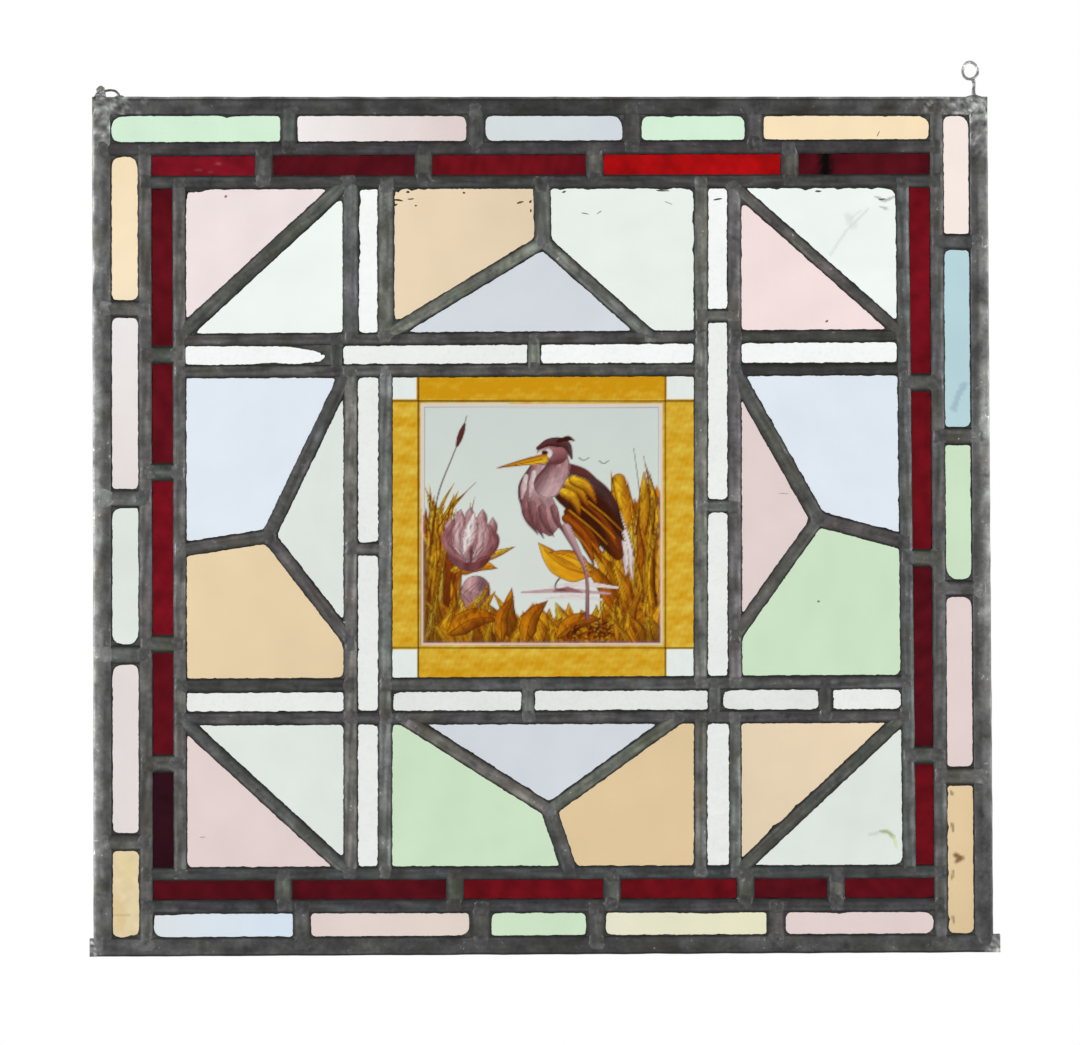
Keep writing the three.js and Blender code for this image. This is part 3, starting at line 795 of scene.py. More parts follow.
def findEdges():
    # every pane edge moved out on to its lead's middle line; those along the panel's rim are kept apart
    centers = np.array([ring.mean(0) for _, _, ring in panes])
    found = []
    for k, (node, _, ring) in enumerate(panes):
        for e, (a, b) in enumerate(zip(ring, np.roll(ring, -1, 0))):
            length = np.hypot(*(b - a))
            out = np.array([b[1] - a[1], a[0] - b[0]]) / length
            rim = bool(((centers - a) @ out < 0).all())
            shift = 0 if rim else leadSizes["paneInset"]
            found.append({"pane": k, "edge": e, "kind": kindOf(node), "rim": rim,
                          "ends": [a + shift * out, b + shift * out]})
    return found


def sameLine(p, q):
    # within a degree, under 0.6 mm aside, and closer than the gap that one lead may have
    (a, b), (c, d) = p["ends"], q["ends"]
    along = (b - a) / np.hypot(*(b - a))
    other = (d - c) / np.hypot(*(d - c))
    if abs(along[0] * other[1] - along[1] * other[0]) > 0.0175:
        return False
    aside, between = np.array([-along[1], along[0]]), (c + d) / 2 - (a + b) / 2
    if abs(between @ aside - (along @ between) * (other @ aside) / (other @ along)) > 0.6 * mm:
        return False
    span = sorted([0, (b - a) @ along])
    reach = sorted([(c - a) @ along, (d - a) @ along])
    return reach[0] < span[1] + leadSizes["joinGap"] and reach[1] > span[0] - leadSizes["joinGap"]


def findLines(edges):
    # edges on one line become one lead, from its first end to its last
    inner = [e for e in edges if not e["rim"] and np.hypot(*np.diff(e["ends"],
            axis=0)[0]) > leadSizes["leastEdge"]]
    groups = []
    for e in inner:
        joined = [g for g in groups if any(sameLine(e, f) for f in g)]
        groups = [g for g in groups if not any(g is j for j in joined)] + [sum(joined, []) + [e]]
    lines = []
    for g in groups:
        ends = np.array([p for e in g for p in e["ends"]])
        middle = ends.mean(0)
        along = np.linalg.svd(ends - middle)[2][0]
        along = along * np.sign(along @ np.array([1.0, -1e-3]) or 1)
        reach = (ends - middle) @ along
        kind = lineKind({e["kind"] for e in g})
        start, end = middle + reach.min() * along, middle + reach.max() * along
        halfway = (start + end) / 2
        near = [leaf * mm for x, z, leaf in leafExceptions
                if np.hypot(*(halfway - np.array([x, z]) * mm)) < 4 * mm]
        lines.append({"start": start, "end": end, "along": along, "kind": kind,
                      "leaf": (near + [leafWidths[kind]])[0]})
        for e in g:
            e["line"] = len(lines) - 1
    return lines


edges = findEdges()
lines = findLines(edges)
print(len(lines), "leads:", sorted({(l["kind"], sum(m["kind"] == l["kind"] for m in lines)) for l in lines}))

# Lead cames: an H section with domed leaves carried along each line.


def cameSection(leaf):
    # (across, through) round an H: each leaf a dome, tip + (crest - tip) x (1 - share to the power 2.4)
    w, crest, tip, under = leaf / 2, leadSizes["crest"], leadSizes["tip"], leadSizes["under"]
    share = np.array([-1, -0.94, -0.84, -0.66, -0.44, -0.22, 0, 0.22, 0.44, 0.66, 0.84, 0.94, 1])
    dome = tip + (crest - tip) * (1 - np.abs(share) ** 2.4)
    front = np.stack([share * w, -dome], -1)
    right = np.array([[w - 0.12 * mm, -under - 0.1 * mm], [leadSizes["heart"], -under],
                      [leadSizes["heart"], under], [w - 0.12 * mm, under + 0.1 * mm]])
    back = front[::-1] * [1, -1]
    left = right[::-1] * [-1, 1]
    return np.concatenate([front, right, back, left])


def carrySection(start, along, across, s, u, v):
    # at each station s: start + s x along + u x across on the panel's plane, and v through it
    flat = start + s[:, None, None] * along + u[..., None] * across
    points = np.stack([flat[..., 0], v, flat[..., 1]], -1).reshape(-1, 3)
    return points, gridQuads(*u.shape, wrapColumns=True), endCaps(*u.shape)


def sweepLead(start, end, section, seed, tone, edgeShade, highlightSide, lean, hue):
    # stations along the line; each strays aside a little, swells a little, and is toned along and across,
    # with painted shade and highlight
    length = np.hypot(*(end - start))
    along = (end - start) / length
    across = np.array([along[1], -along[0]])
    s = np.linspace(0, length, max(int(length / leadSizes["station"]), 2) + 1)
    swell = 1 + 0.035 * sway(s, seed, 18 * mm)
    still = np.clip(np.minimum(s, length - s) / (6 * mm), 0, 1)
    aside = leadSizes["wobble"] * sway(s, seed + 1, 30 * mm) * still
    height = 1 + 0.025 * sway(s, seed + 2, 14 * mm)
    half = np.abs(section[:, 0]).max()
    u = section[None, :, 0] * swell[:, None] + aside[:, None]
    far, wide = np.repeat(s[:, None], len(section), 1), section[None, :, 0] * 3
    nick = leadSizes["nick"] * ripple(far, wide, seed + 3, 7 * mm)
    outer = np.clip(np.abs(section[:, 0]) / half - 0.9, 0, 1) * 10
    u = u + nick * outer[None, :]
    crown = np.abs(section[None, :, 1]) > leadSizes["tip"] * 0.98
    v = section[None, :, 1] * np.where(crown, height[:, None], 1)
    points, quads, caps = carrySection(start, along, across, s, u, v)
    # tone: painted shade darkening the dome towards both edges, uprights painted lighter on their left as if
    # lit from there, long streaks, a painted highlight as a pale line along one side, slow swings of light
    # and hue
    share = section[None, :, 0] / half
    level = 1.14 - edgeShade * np.abs(share) ** 4 - lean * share
    streak = ripple(s[:, None] * 0.22 + 0 * share, share * 9 * mm + 0 * s[:, None], seed + 4, 9 * mm)
    # the pale band is a painted highlight along one side of the leaf
    band = np.exp(-((share - highlightSide * 0.72) / 0.16) ** 2)
    pale = band * (0.5 + 0.5 * sway(s, seed + 9, 25 * mm))[:, None]
    level = tone * level * (1 + 0.2 * streak + 0.3 * pale)
    level = level * (1 + 0.1 * sway(s, seed + 5, 22 * mm))[:, None]
    cast = np.random.default_rng(seed).uniform(-0.06, 0.06, 3)
    hue = np.array(hue) + cast + 0.045 * np.stack([sway(s, seed + 6 + c, 34 * mm) for c in range(3)], -1)
    colors = seenLevel(level)[..., None] * hue[:, None, :]
    return points, quads, caps, colors.reshape(-1, 3)


def signedVolume(points, quads):
    # six times the volume: for both triangles of each quad, a . (b x c)
    a, b, c, d = (points[quads[:, k]] for k in range(4))
    return (np.einsum("ij,ij->i", a, np.cross(b, c)) + np.einsum("ij,ij->i", a, np.cross(c, d))).sum()


def outwards(part):
    # a shell whose volume comes out negative is turned right side out
    points, quads, caps, colors = part
    if signedVolume(points - points.mean(0), quads) < 0:
        return points, quads[:, ::-1], [np.asarray(c)[::-1] for c in caps], colors
    return part


cameTones = {
    # tone of the lying ones, of the upright ones (the difference between them is painted light), how dark
    # their edges are painted in shade, hue
    "ring": (0.60, 0.88, 0.6, (1.03, 0.98, 1.02)),
    "inner": (0.63, 0.86, 0.6, (1.0, 1.0, 0.97)),
    "fillet": (0.76, 1.0, 0.75, (1.0, 1.0, 0.97)),
    "filletCross": (0.92, 0.9, 0.8, (1.0, 1.01, 0.95)),
    "diagonal": (0.81, 0.81, 0.7, (1.02, 1.01, 0.95)),
    "pastelCross": (0.88, 0.78, 1.0, (1.01, 1.0, 0.97)),
    "rubyCross": (0.78, 0.82, 1.0, (0.99, 1.03, 0.9)),
}
cameExceptions = [
    # a lead near (x, z) in mm is this much lighter or darker than its like
    (-38, -96, 1.28), (28, -96, 1.28), (-32, -333, 1.25), (37, -333, 1.18), (139.5, -136, 0.72),
    (139, -119, 0.85), (-137.5, -294, 0.75), (-102, -129, 0.64), (-3, -129, 1.25), (142.5, -301, 0.75),
]


cameGroups = {
    # the kinds of lead that make up each piece
    "ringCames": ["ring"], "innerCames": ["inner"], "filletCames": ["fillet", "filletCross"],
    "diagonalCames": ["diagonal"], "crossCames": ["pastelCross", "rubyCross"],
}
uprightLeftLight = {"plain": 0.1, "outer": 0.2, "outerFrom": -170 * mm}  # uprights are painted lighter on their left side, as if lit from the left


def onRim(place):
    # whether a place is at the panel's rim
    return abs(place[0]) > rimLine["side"] or not rimLine["bottom"] < place[1] < rimLine["top"]


def makeCames():
    # every lead is swept along its line, and each group of them makes a piece
    for name, members in cameGroups.items():
        shells = []
        for k, line in enumerate(lines):
            if line["kind"] not in members:
                continue
            upright = abs(line["along"][1]) > 0.9
            runs = [-leadSizes["stopShort"] if onRim(line[end]) else leadSizes["runOn"]
                    for end in ("start", "end")]
            start, end = line["start"] - runs[0] * line["along"], line["end"] + runs[1] * line["along"]
            lying, standing, edgeShade, hue = cameTones[line["kind"]]
            # upright and lying leads take different tones: painted light
            tone = (standing if upright else lying) * rng.uniform(0.95, 1.05)
            middle = (start + end) / 2
            for x, z, factor in cameExceptions:
                if np.hypot(middle[0] - x * mm, middle[1] - z * mm) < 6 * mm:
                    tone *= factor
            line["tone"] = tone
            # how much lighter an upright is painted on its left, as if lit from there
            lean = uprightLeftLight["outer"] if middle[0] < uprightLeftLight["outerFrom"] else uprightLeftLight["plain"]
            lean = -np.sign(line["along"][1]) * lean * upright
            section, side, seed = cameSection(line["leaf"]), rng.choice([-1, 1]), 1000 + 20 * k
            shells.append(outwards(sweepLead(start, end, section, seed, tone, edgeShade, side, lean, hue)))
        makeToned(name, shells, lead)


makeCames()
print("cames ready")

# Solder joints: low lenses of solder wherever leads meet, on both faces.


jointSizes = {
    "overrun": 3 * mm,     # how far past a lead's end another may still meet it
    "leastArm": 5 * mm,    # a lead that runs on for less than this counts as ending here
    "rimNear": 4 * mm,     # an end this near the panel's rim is soldered to the border
    "rimArm": 3.6 * mm,    # half width of that joint along the border
    "rimBack": 2.6 * mm,   # and how far back its middle lies
    "merge": 4.5 * mm,     # joints closer than this are one
    "toneNear": 3 * mm,    # a joint is as light as the leads within this distance
    "rimLift": 1.3,        # and lighter on the sides of the border, to match the highlight painted there
    "peak": (3.1, 3.3),    # lowest and highest crown, in mm from the middle of the thickness
}


def findJoints():
    # where two leads cross or touch, with the directions and half widths of the leads that leave it
    found = []
    for i, p in enumerate(lines):
        for q in lines[i + 1:]:
            cross = p["along"][0] * q["along"][1] - p["along"][1] * q["along"][0]
            if abs(cross) < 0.15:
                continue
            gap = q["start"] - p["start"]
            t = (gap[0] * q["along"][1] - gap[1] * q["along"][0]) / cross
            place = p["start"] + t * p["along"]
            arms = []
            for line in (p, q):
                t = (place - line["start"]) @ line["along"]
                length = np.hypot(*(line["end"] - line["start"]))
                if not -jointSizes["overrun"] < t < length + jointSizes["overrun"]:
                    break
                arms += [(-line["along"], line["leaf"] / 2)] if t > jointSizes["leastArm"] else []
                arms += [(line["along"], line["leaf"] / 2)] if length - t > jointSizes["leastArm"] else []
            else:
                found.append([place, arms])
    for line in lines:
        for end, way in ((line["start"], -line["along"]), (line["end"], line["along"])):
            rim = [e for e in edges if e["rim"] and distanceTo(end, e["ends"]) < jointSizes["rimNear"]]
            if rim:
                a, b = rim[0]["ends"]
                side = (b - a) / np.hypot(*(b - a))
                arms = [(side, jointSizes["rimArm"]), (-side, jointSizes["rimArm"]), (-way, line["leaf"] / 2)]
                found.append([end - jointSizes["rimBack"] * way, arms])
    joints = []
    for place, arms in found:
        near = [j for j in joints if np.hypot(*(j[0] - place)) < jointSizes["merge"]]
        if near:
            near[0][2].append(place)
            known = near[0][1]
            known += [a for a in arms if all(a[0] @ k[0] < 0.95 for k in known)]
        else:
            joints.append([place, list(arms), [place]])
    return [(np.mean(places, 0), arms) for _, arms, places in joints]


def solderLens(place, arms, seed, face, peak, tone, rim=2.1 * mm, rings=5, sides=24):
    # the outline is the largest reach of any arm, each a rounded strip; the height falls off like a lens
    draw = np.random.default_rng(seed)
    angle = np.linspace(0, math.tau, sides, endpoint=False)
    reach = np.full(sides, 0.92 * min(w for _, w in arms))
    for way, w in arms:
        turn = angle - math.atan2(way[1], way[0])
        run = draw.uniform(1.25, 2.1) * w
        ahead = np.clip(np.cos(turn), 0, 1)
        strip = ((ahead / run) ** 3 + (np.abs(np.sin(turn)) / (0.98 * w)) ** 3) ** (-1 / 3)
        reach = np.where(np.cos(turn) > 0.35, np.maximum(reach, strip), reach)
    reach = 0.5 * reach + 0.25 * (np.roll(reach, 1) + np.roll(reach, -1))
    reach = reach * (1 + 0.06 * ripple(np.cos(angle) * 3 * mm, np.sin(angle) * 3 * mm, seed, 5 * mm))
    share = np.linspace(0.12, 1, rings)[:, None]
    x = place[0] + share * reach * np.cos(angle)
    z = place[1] + share * reach * np.sin(angle)
    rough = 0.1 * mm * ripple(x, z, seed + 1, 5 * mm)
    y = face * (rim + (peak - rim) * np.clip(1 - share**2.6, 0, 1) ** 0.5 + rough * (1 - share**4))
    top = np.stack([x, y, z], -1).reshape(-1, 3)
    base = np.stack([x[-1], np.full(sides, face * (rim - 0.45 * mm)), z[-1]], -1)
    points = np.concatenate([top, base])
    quads, caps = gridQuads(rings + 1, sides, wrapColumns=True), endCaps(rings + 1, sides)
    # painted light on the lens: glints, a centre lighter than its rim, and a darker foot
    paintedGlint = np.clip(ripple(x, z, seed + 3, 3 * mm) - 0.45, 0, 1) * draw.uniform(0.1, 0.9)
    level = tone * draw.uniform(0.98, 1.2) * (1 - 0.1 * share**3)
    level = level + 0.12 * ripple(x, z, seed + 2, 4 * mm) + paintedGlint
    level = np.concatenate([np.broadcast_to(level, (rings, sides)).ravel(), np.full(sides, 0.5)])
    return outwards((points, quads, caps, grays(level)))


def makeSolder():
    # one lens for each joint on each face, as light as the leads that meet there
    joints = findJoints()
    for name, face in (("frontSolder", -1), ("backSolder", 1)):
        lenses = []
        for k, (place, arms) in enumerate(joints):
            near = [line["tone"] for line in lines
                    if distanceTo(place, (line["start"], line["end"])) < jointSizes["toneNear"]]
            tone = np.mean(near) * (jointSizes["rimLift"] if abs(place[0]) > rimLine["side"] else 1.0)
            peak = rng.uniform(*jointSizes["peak"]) * mm
            lenses.append(solderLens(place, arms, 5000 + 30 * k + (face > 0), face, peak, tone))
        makeToned(name, lenses, solder)
    print(len(joints), "solder joints")


makeSolder()

# Glazing cement: a ragged black seam round every pane, with small webs in its corners.


def insetRing(ring, insets):
    # the convex outline cut back by each side's own depth
    points = ring
    for (a, b), depth in zip(zip(ring, np.roll(ring, -1, 0)), insets):
        inward = np.array([a[1] - b[1], b[0] - a[0]]) / np.hypot(*(b - a))
        level = (points - a) @ inward - depth
        kept = []
        for i in range(len(points)):
            j = (i + 1) % len(points)
            if level[i] >= 0:
                kept.append(points[i])
            if (level[i] >= 0) != (level[j] >= 0):
                t = level[i] / (level[i] - level[j])
                kept.append(points[i] + t * (points[j] - points[i]))
        points = np.array(kept)
    close = np.hypot(*(np.roll(points, -1, 0) - points).T) < 0.25 * mm
    return points[~close]


def roundRing(ring, radius, step, seed=0, spread=0.4, corners=None):
    # each corner becomes a short curve, some wider than others; then even steps all round
    pieces = []
    radii = radius * np.random.default_rng(seed).uniform(1 - spread, 1 + spread, len(ring))
    for before, corner, after, radius in zip(np.roll(ring, 1, 0), ring, np.roll(ring, -1, 0), radii):
        if corners is not None:
            # by quarter: upper left, upper right, lower right, lower left
            right, low = corner[0] > ring[:, 0].mean(), corner[1] < ring[:, 1].mean()
            radius = (0.8 + 1.3 * corners[2 * low + (right != low)]) * mm
        rooms = [np.hypot(*(p - corner)) for p in (before, after)]
        opening = (before - corner) @ (after - corner) / (rooms[0] * rooms[1])
        radius = radius * (2.2 if opening > 0.4 else 1)
        t = np.linspace(0, 1, 7)[:, None]
        cut = [min(radius, 0.45 * room) / room for room in rooms]
        a, c = corner + cut[0] * (before - corner), corner + cut[1] * (after - corner)
        pieces.append((1 - t) ** 2 * a + 2 * t * (1 - t) * corner + t**2 * c)
    path = np.concatenate(pieces)
    path = np.concatenate([path, path[:1]])
    s = np.concatenate([[0], np.cumsum(np.hypot(*np.diff(path, axis=0).T))])
    even = np.linspace(0, s[-1], max(int(s[-1] / step), 24), endpoint=False)
    return np.stack([np.interp(even, s, path[:, 0]), np.interp(even, s, path[:, 1])], -1)


def insetsOf(pane, extra=0.0):
    # how far each side's leaf covers the pane
    rim, insets = leadSizes["borderLeaf"] - leadSizes["borderInset"], []
    for edge in sorted((e for e in edges if e["pane"] == pane), key=lambda e: e["edge"]):
        leaf = lines[edge["line"]]["leaf"] if "line" in edge else leadSizes["plainLeaf"]
        insets.append((rim if edge["rim"] else leaf / 2 - leadSizes["paneInset"]) + extra)
    return insets


cementLook = {
    # corner radius, mean width of the seam, raggedness
    "border": (3.0 * mm, 0.52 * mm, 0.22 * mm),
    "ruby": (1.0 * mm, 0.35 * mm, 0.14 * mm),
    "fillet": (2.2 * mm, 0.42 * mm, 0.34 * mm),
    "corner": (2.6 * mm, 0.42 * mm, 0.24 * mm),
    "field": (2.2 * mm, 0.42 * mm, 0.28 * mm),
    "painted": (1.0 * mm, 0.36 * mm, 0.2 * mm),
}
seamSizes = {
    "step": 0.9 * mm,               # along the ragged edge
    "tucked": 0.9 * mm,             # how far the seam runs on under the leaf
    "reach": (-0.3 * mm, 2.2 * mm),  # least and most that it stands out on the glass
    "heights": (2.3, 1.46, 1.3),    # of its top, its ragged edge and its foot, in mm from the middle
    "dark": (0.012, 0.012, 0.011),  # the cement itself
    "gray": (0.055, 0.058, 0.056),  # and where lead dust lies on it
}
paneCorners = {
    # how round a border pane shows at its upper left, upper right, lower right and lower left corner, in mm
    "top_1": (6, 1.5, 1, 3.5), "top_2": (1.2, 3, 1.2, 0.8), "top_3": (2.5, 4, 1.5, 3),
    "top_4": (3.5, 3, 1, 2), "top_5": (1.5, 5, 2.5, 2), "right_1": (2.5, 4.5, 1.2, 1),
    "right_2": (2.5, 1.5, 2.5, 1), "right_3": (1, 1, 3.5, 6), "right_4": (2.5, 3.5, 2.5, 1.5),
    "right_5": (1, 1, 2.5, 3), "bottom_1": (1.5, 0.8, 0.8, 4.5), "bottom_2": (1.5, 1.5, 5, 2),
    "bottom_3": (2, 2, 1.2, 1), "bottom_4": (1.2, 1.2, 1.2, 2.5), "bottom_5": (2.5, 5, 4, 2.5),
    "left_1": (4, 5, 2.5, 2), "left_2": (2.5, 2.5, 2, 1.5), "left_3": (4, 1, 5, 4), "left_4": (4, 3, 2, 2.5),
    "left_5": (2, 2, 3, 2.5),
    # the same for some other panes, by name and number
    ("fillet_glass_row_bottom_right", 2): (4, 1.8, 1.8, 4),
    ("fillet_glass_row_bottom_right", 3): (1, 2.4, 2.4, 1),
    ("fillet_glass_row_top_right", 0): (1.2, 2, 2, 1.2),
    ("fillet_glass_row_bottom_right", 1): (0.8, 1.2, 1.2, 0.8),
    ("corner_glass_bottom_right_clear", 0): (1, 0.5, 3.6, 0.2),
    ("corner_glass_bottom_left_clear", 0): (0.3, 1.8, 1.2, 1),
    ("corner_glass_bottom_right_amber", 0): (1, 0.3, 1, 0.3),
    ("corner_glass_top_right_clear", 0): (0.3, 2.2, 1, 1),
    ("field_glass_left_amber", 0): (0.8, 1, 2.6, 1), ("field_glass_right_green", 0): (1, 1, 2.2, 1.2),
    ("corner_glass_bottom_left_pink", 0): (0.4, 1, 0.3, 2),
}
handOpenings = {
    # an opening drawn point by point, in mm, where cement leaves a pane narrowing to a blunt nose
    ("fillet_glass_row_top_left", 0): [
        (-178.4, -134.2), (-150, -134.4), (-134, -133.4), (-122, -134.0), (-111, -133.2), (-106.8, -130.6),
        (-107.6, -128.4), (-113, -126.4), (-121, -124.9), (-131, -124.1), (-178.4, -124.2)],
}


cementLumps = {
    # by pane and its number in a run: where each lump is (x, z), how far it spreads and how deep it is, in mm
    ("corner_glass_top_left_pink", 0): [(-174, -44, 6, 2.0)],
    ("border_glass_top_1", 0): [(-156, -9, 2.4, 0.9)],
    ("border_glass_top_4", 0): [(65, -9, 3.0, 0.8)],
    ("border_glass_top_3", 0): [(44, -11, 3.0, 1.2)],
    ("border_glass_bottom_1", 0): [(-186, -404, 9, 1.1)],
    ("border_glass_bottom_4", 0): [(84, -404, 9, 0.7)],
    ("border_glass_bottom_5", 0): [(147, -404, 6, 0.8)],
    ("fillet_glass_column_left_upper", 0): [(-89, -52, 5, 1.0), (-89, -75, 7, 0.7)],
    ("fillet_glass_column_right_upper", 0): [(86, -50, 5, 1.2)],
    ("fillet_glass_row_bottom_right", 0): [(-75, -301, 6, 1.0)],
    ("fillet_glass_row_bottom_right", 2): [(90, -301, 5, 1.2)],
    ("fillet_glass_row_bottom_right", 3): [(145, -301, 5, 1.0)],
    ("corner_glass_top_right_clear", 0): [(178, -44, 4, 1.5), (118, -46, 1.6, 0.9), (133, -46, 2.4, 1.1),
            (149, -46, 1.8, 1.1), (157, -46, 1.3, 0.9), (166, -46, 1.6, 1.0), (109, -57, 2.6, 1.3)],
    ("field_glass_top_amber", 0): [(-76, -44, 5, 1.6), (-71, -46, 1.8, 1.2), (-64, -46, 1.3, 1.0),
            (-58, -46, 1.1, 0.8), (-7, -49, 2.2, 1.0), (-7, -58, 2.0, 0.8)],
    ("field_glass_top_clear", 0): [(78, -44, 5, 1.4), (10, -46, 1.3, 0.8), (24, -46, 1.6, 1.0),
            (61, -46, 3.0, 0.9), (77, -60, 3.0, 0.8), (77, -76, 2.2, 0.7)],
    ("corner_glass_top_right_pink", 0): [(116, -73, 2.2, 1.1)],
    ("corner_glass_bottom_right_amber", 0): [(118, -366, 3.0, 1.0), (128, -355, 2.4, 0.8)],
    ("corner_glass_top_left_clear", 0): [(-170, -110, 3.0, 0.8)],
    ("border_glass_right_5", 0): [(204.5, -348, 1.5, 1.0), (204.5, -353, 1.1, 0.8), (204.5, -365, 1.8, 1.0),
                                  (204.5, -376, 1.6, 1.1), (204.5, -388, 1.8, 0.9), (204.5, -411, 1.8, 1.2),
                                  (219, -391, 1.5, 0.9)],
    ("border_glass_left_5", 0): [(-202, -391, 2.6, 1.0), (-204, -419, 3.0, 1.3)],
}


def cementSeam(pane, face, seed):
    # a thin wedge from under the leaf to a ragged line on the glass, which stands in from the opening by
    # mean width + raggedness x (noise + spikes) + lumps that fade with the distance squared
    node, number, ring = panes[pane]
    radius, width, rough = cementLook[kindOf(node)]
    corners = paneCorners.get(node.replace("border_glass_", ""), paneCorners.get((node, number)))
    if (node, number) in handOpenings:
        opening = roundRing(np.array(handOpenings[node, number]) * mm, 4 * mm, seamSizes["step"], pane, 0.1)
    else:
        opening = roundRing(insetRing(ring, insetsOf(pane)), radius, seamSizes["step"], pane, 0.4, corners)
    sharp = insetRing(ring, insetsOf(pane, -seamSizes["tucked"]))
    ahead, back = np.roll(opening, -1, 0), np.roll(opening, 1, 0)
    tangent = (ahead - back) / np.hypot(*(ahead - back).T)[:, None]
    inward = np.stack([-tangent[:, 1], tangent[:, 0]], -1)
    x, z = opening.T
    noise = ripple(x, z, seed, 9 * mm, 2) + 0.7 * ripple(x, z, seed + 1, 2.4 * mm, 2)
    spike = np.clip(ripple(x, z, seed + 2, 5 * mm, 2) - 0.75, 0, 1)
    depth = np.clip(width + rough * noise + 2.2 * rough * spike, *seamSizes["reach"])
    for x0, z0, reach, deep in cementLumps.get((node, number), []):
        away = np.hypot(x - x0 * mm, z - z0 * mm) / (reach * mm)
        depth = depth + deep * mm * np.exp(-(away**2)) * (0.85 + 0.15 * noise)
    inner = opening + depth[:, None] * inward
    outer = outerPoints(opening, inward, sharp)
    y = face * np.array(seamSizes["heights"])[:, None] * mm
    loops = [np.stack([p[:, 0], np.full(len(p), h[0]), p[:, 1]], -1) for p,
             h in zip((outer, inner, outer), y)]
    points = np.concatenate(loops)
    quads = gridQuads(3, len(opening), wrapRows=True, wrapColumns=True)
    dark, gray = np.array(seamSizes["dark"]), np.array(seamSizes["gray"])
    web = np.clip(np.hypot(*(outer - opening).T) / (1.4 * mm) - 0.9, 0, 1)[:, None]
    colors = np.concatenate([gray * (0.5 + web), dark * (1 + 2.5 * web), dark + 0 * web])
    return outwards((points, quads, [], colors))


def outerPoints(opening, inward, sharp):
    # from each point of the opening straight outwards to the convex outline
    reach = np.full(len(opening), 1.0)
    for a, b in zip(sharp, np.roll(sharp, -1, 0)):
        normal = np.array([b[1] - a[1], a[0] - b[0]]) / np.hypot(*(b - a))
        towards = -(inward @ normal)
        away = (a - opening) @ normal
        reach = np.where(towards > 1e-3, np.minimum(reach, away / np.where(towards > 1e-3, towards, 1)),
                         reach)
    return opening - np.clip(reach, 0.2 * mm, 6 * mm)[:, None] * inward


specks = [
    # flecks of dirt on the front: place, half length and half width in mm, turn in degrees, colour
    (-157, -49.8, 0.8, 0.6, 40, (158, 112, 104)), (143.3, -112.2, 0.8, 0.6, 30, (132, 112, 106)),
    (139.2, -252.2, 0.7, 0.6, 0, (122, 138, 104)), (121.6, -198.2, 3.2, 0.16, -4, (172, 158, 154)),
    (169, -18.6, 1.4, 0.25, 64, (150, 126, 92)), (-71, -51.6, 2.6, 0.5, -8, (74, 58, 42)),
    (-64.5, -51.1, 1.7, 0.35, 4, (104, 84, 62)), (-10, -52.8, 1.8, 0.5, 14, (84, 70, 54)),
    (-4.8, -52.4, 0.9, 0.6, 60, (70, 56, 42)), (-4.6, -57, 0.8, 0.5, 80, (84, 68, 50)),
    (-62, -54.4, 0.6, 0.4, 0, (110, 90, 66)), (-72, -54, 0.9, 0.5, 30, (90, 72, 52)),
    (29.6, -57.8, 1.6, 0.3, 30, (170, 172, 168)), (64, -53, 2.2, 0.3, -20, (190, 192, 188)),
    (-38, -48, 0.7, 0.5, 0, (90, 74, 54)), (22.5, -58.3, 1.8, 0.3, -10, (128, 134, 128)),
    (61, -46.9, 3.6, 0.4, -2, (84, 86, 82)), (88.7, -51.2, 2.4, 0.45, 8, (60, 60, 56)),
    (12, -47.5, 1.0, 0.5, 20, (90, 92, 88)), (139, -47.2, 1.6, 0.5, 0, (86, 88, 84)),
    (171, -51.2, 1.8, 0.4, 4, (96, 100, 96)), (-66, -47.6, 0.9, 0.6, 0, (70, 60, 46)),
    (-168.6, -370, 1.7, 0.2, 2, (190, 164, 158)),
]


def speckShell(x, z, half, thin, turn, seen, sides=12):
    # a low fleck: a turned ellipse, a little ragged, at three heights
    angle = np.linspace(0, math.tau, sides, endpoint=False)
    way = np.array([math.cos(math.radians(turn)), math.sin(math.radians(turn))])
    ragged = 1 + 0.3 * ripple(3 * np.cos(angle), 3 * np.sin(angle), int(abs(x * 7 + z)), 2)
    loops = []
    for share, y in ((0.5, -1.75), (1.0, -1.6), (1.0, -1.2)):
        u, v = share * half * ragged * np.cos(angle), share * thin * ragged * np.sin(angle)
        loops.append(np.stack([x + u * way[0] - v * way[1], np.full(sides, y), z + u * way[1] + v * way[0]],
                              -1) * mm)
    quads, caps = gridQuads(3, sides, wrapColumns=True), endCaps(3, sides)
    return outwards((np.concatenate(loops), quads, caps, np.tile(toLinear(seen), (3 * sides, 1))))


cementGroups = {
    # the kinds of pane whose seams make up each piece
    "borderCement": ["border"], "rubyCement": ["ruby"], "filletCement": ["fillet"],
    "fieldCement": ["corner", "field", "painted"],
}


def makeCement():
    # a seam for each pane on each face, then the specks
    for name, members in cementGroups.items():
        shells = [cementSeam(k, face, 9000 + 10 * k + (face > 0) * 5) for face in (-1, 1)
                  for k, (node, _, _) in enumerate(panes) if kindOf(node) in members]
        makeToned(name, shells, cement)
    makeToned("glassSpecks", [speckShell(*speck) for speck in specks], cement)


makeCement()
print("cement ready")

# The outer border cames: a U section, open towards the glass, with a rounded back.


def borderEdge(node, inward):
    # the came's outer edge, from the corners of its node: the outermost point near each of its ends
    points = np.array([v.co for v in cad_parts[node].data.vertices])[:, [0, 2]]
    along = 1 if abs(inward[0]) > 0.5 else 0
    ends = []
    for pick in (np.min, np.max):
        near = points[np.abs(points[:, along] - pick(points[:, along])) < 6 * mm]
        ends.append(near[(near @ np.array(inward)).argmin()])
    return ends


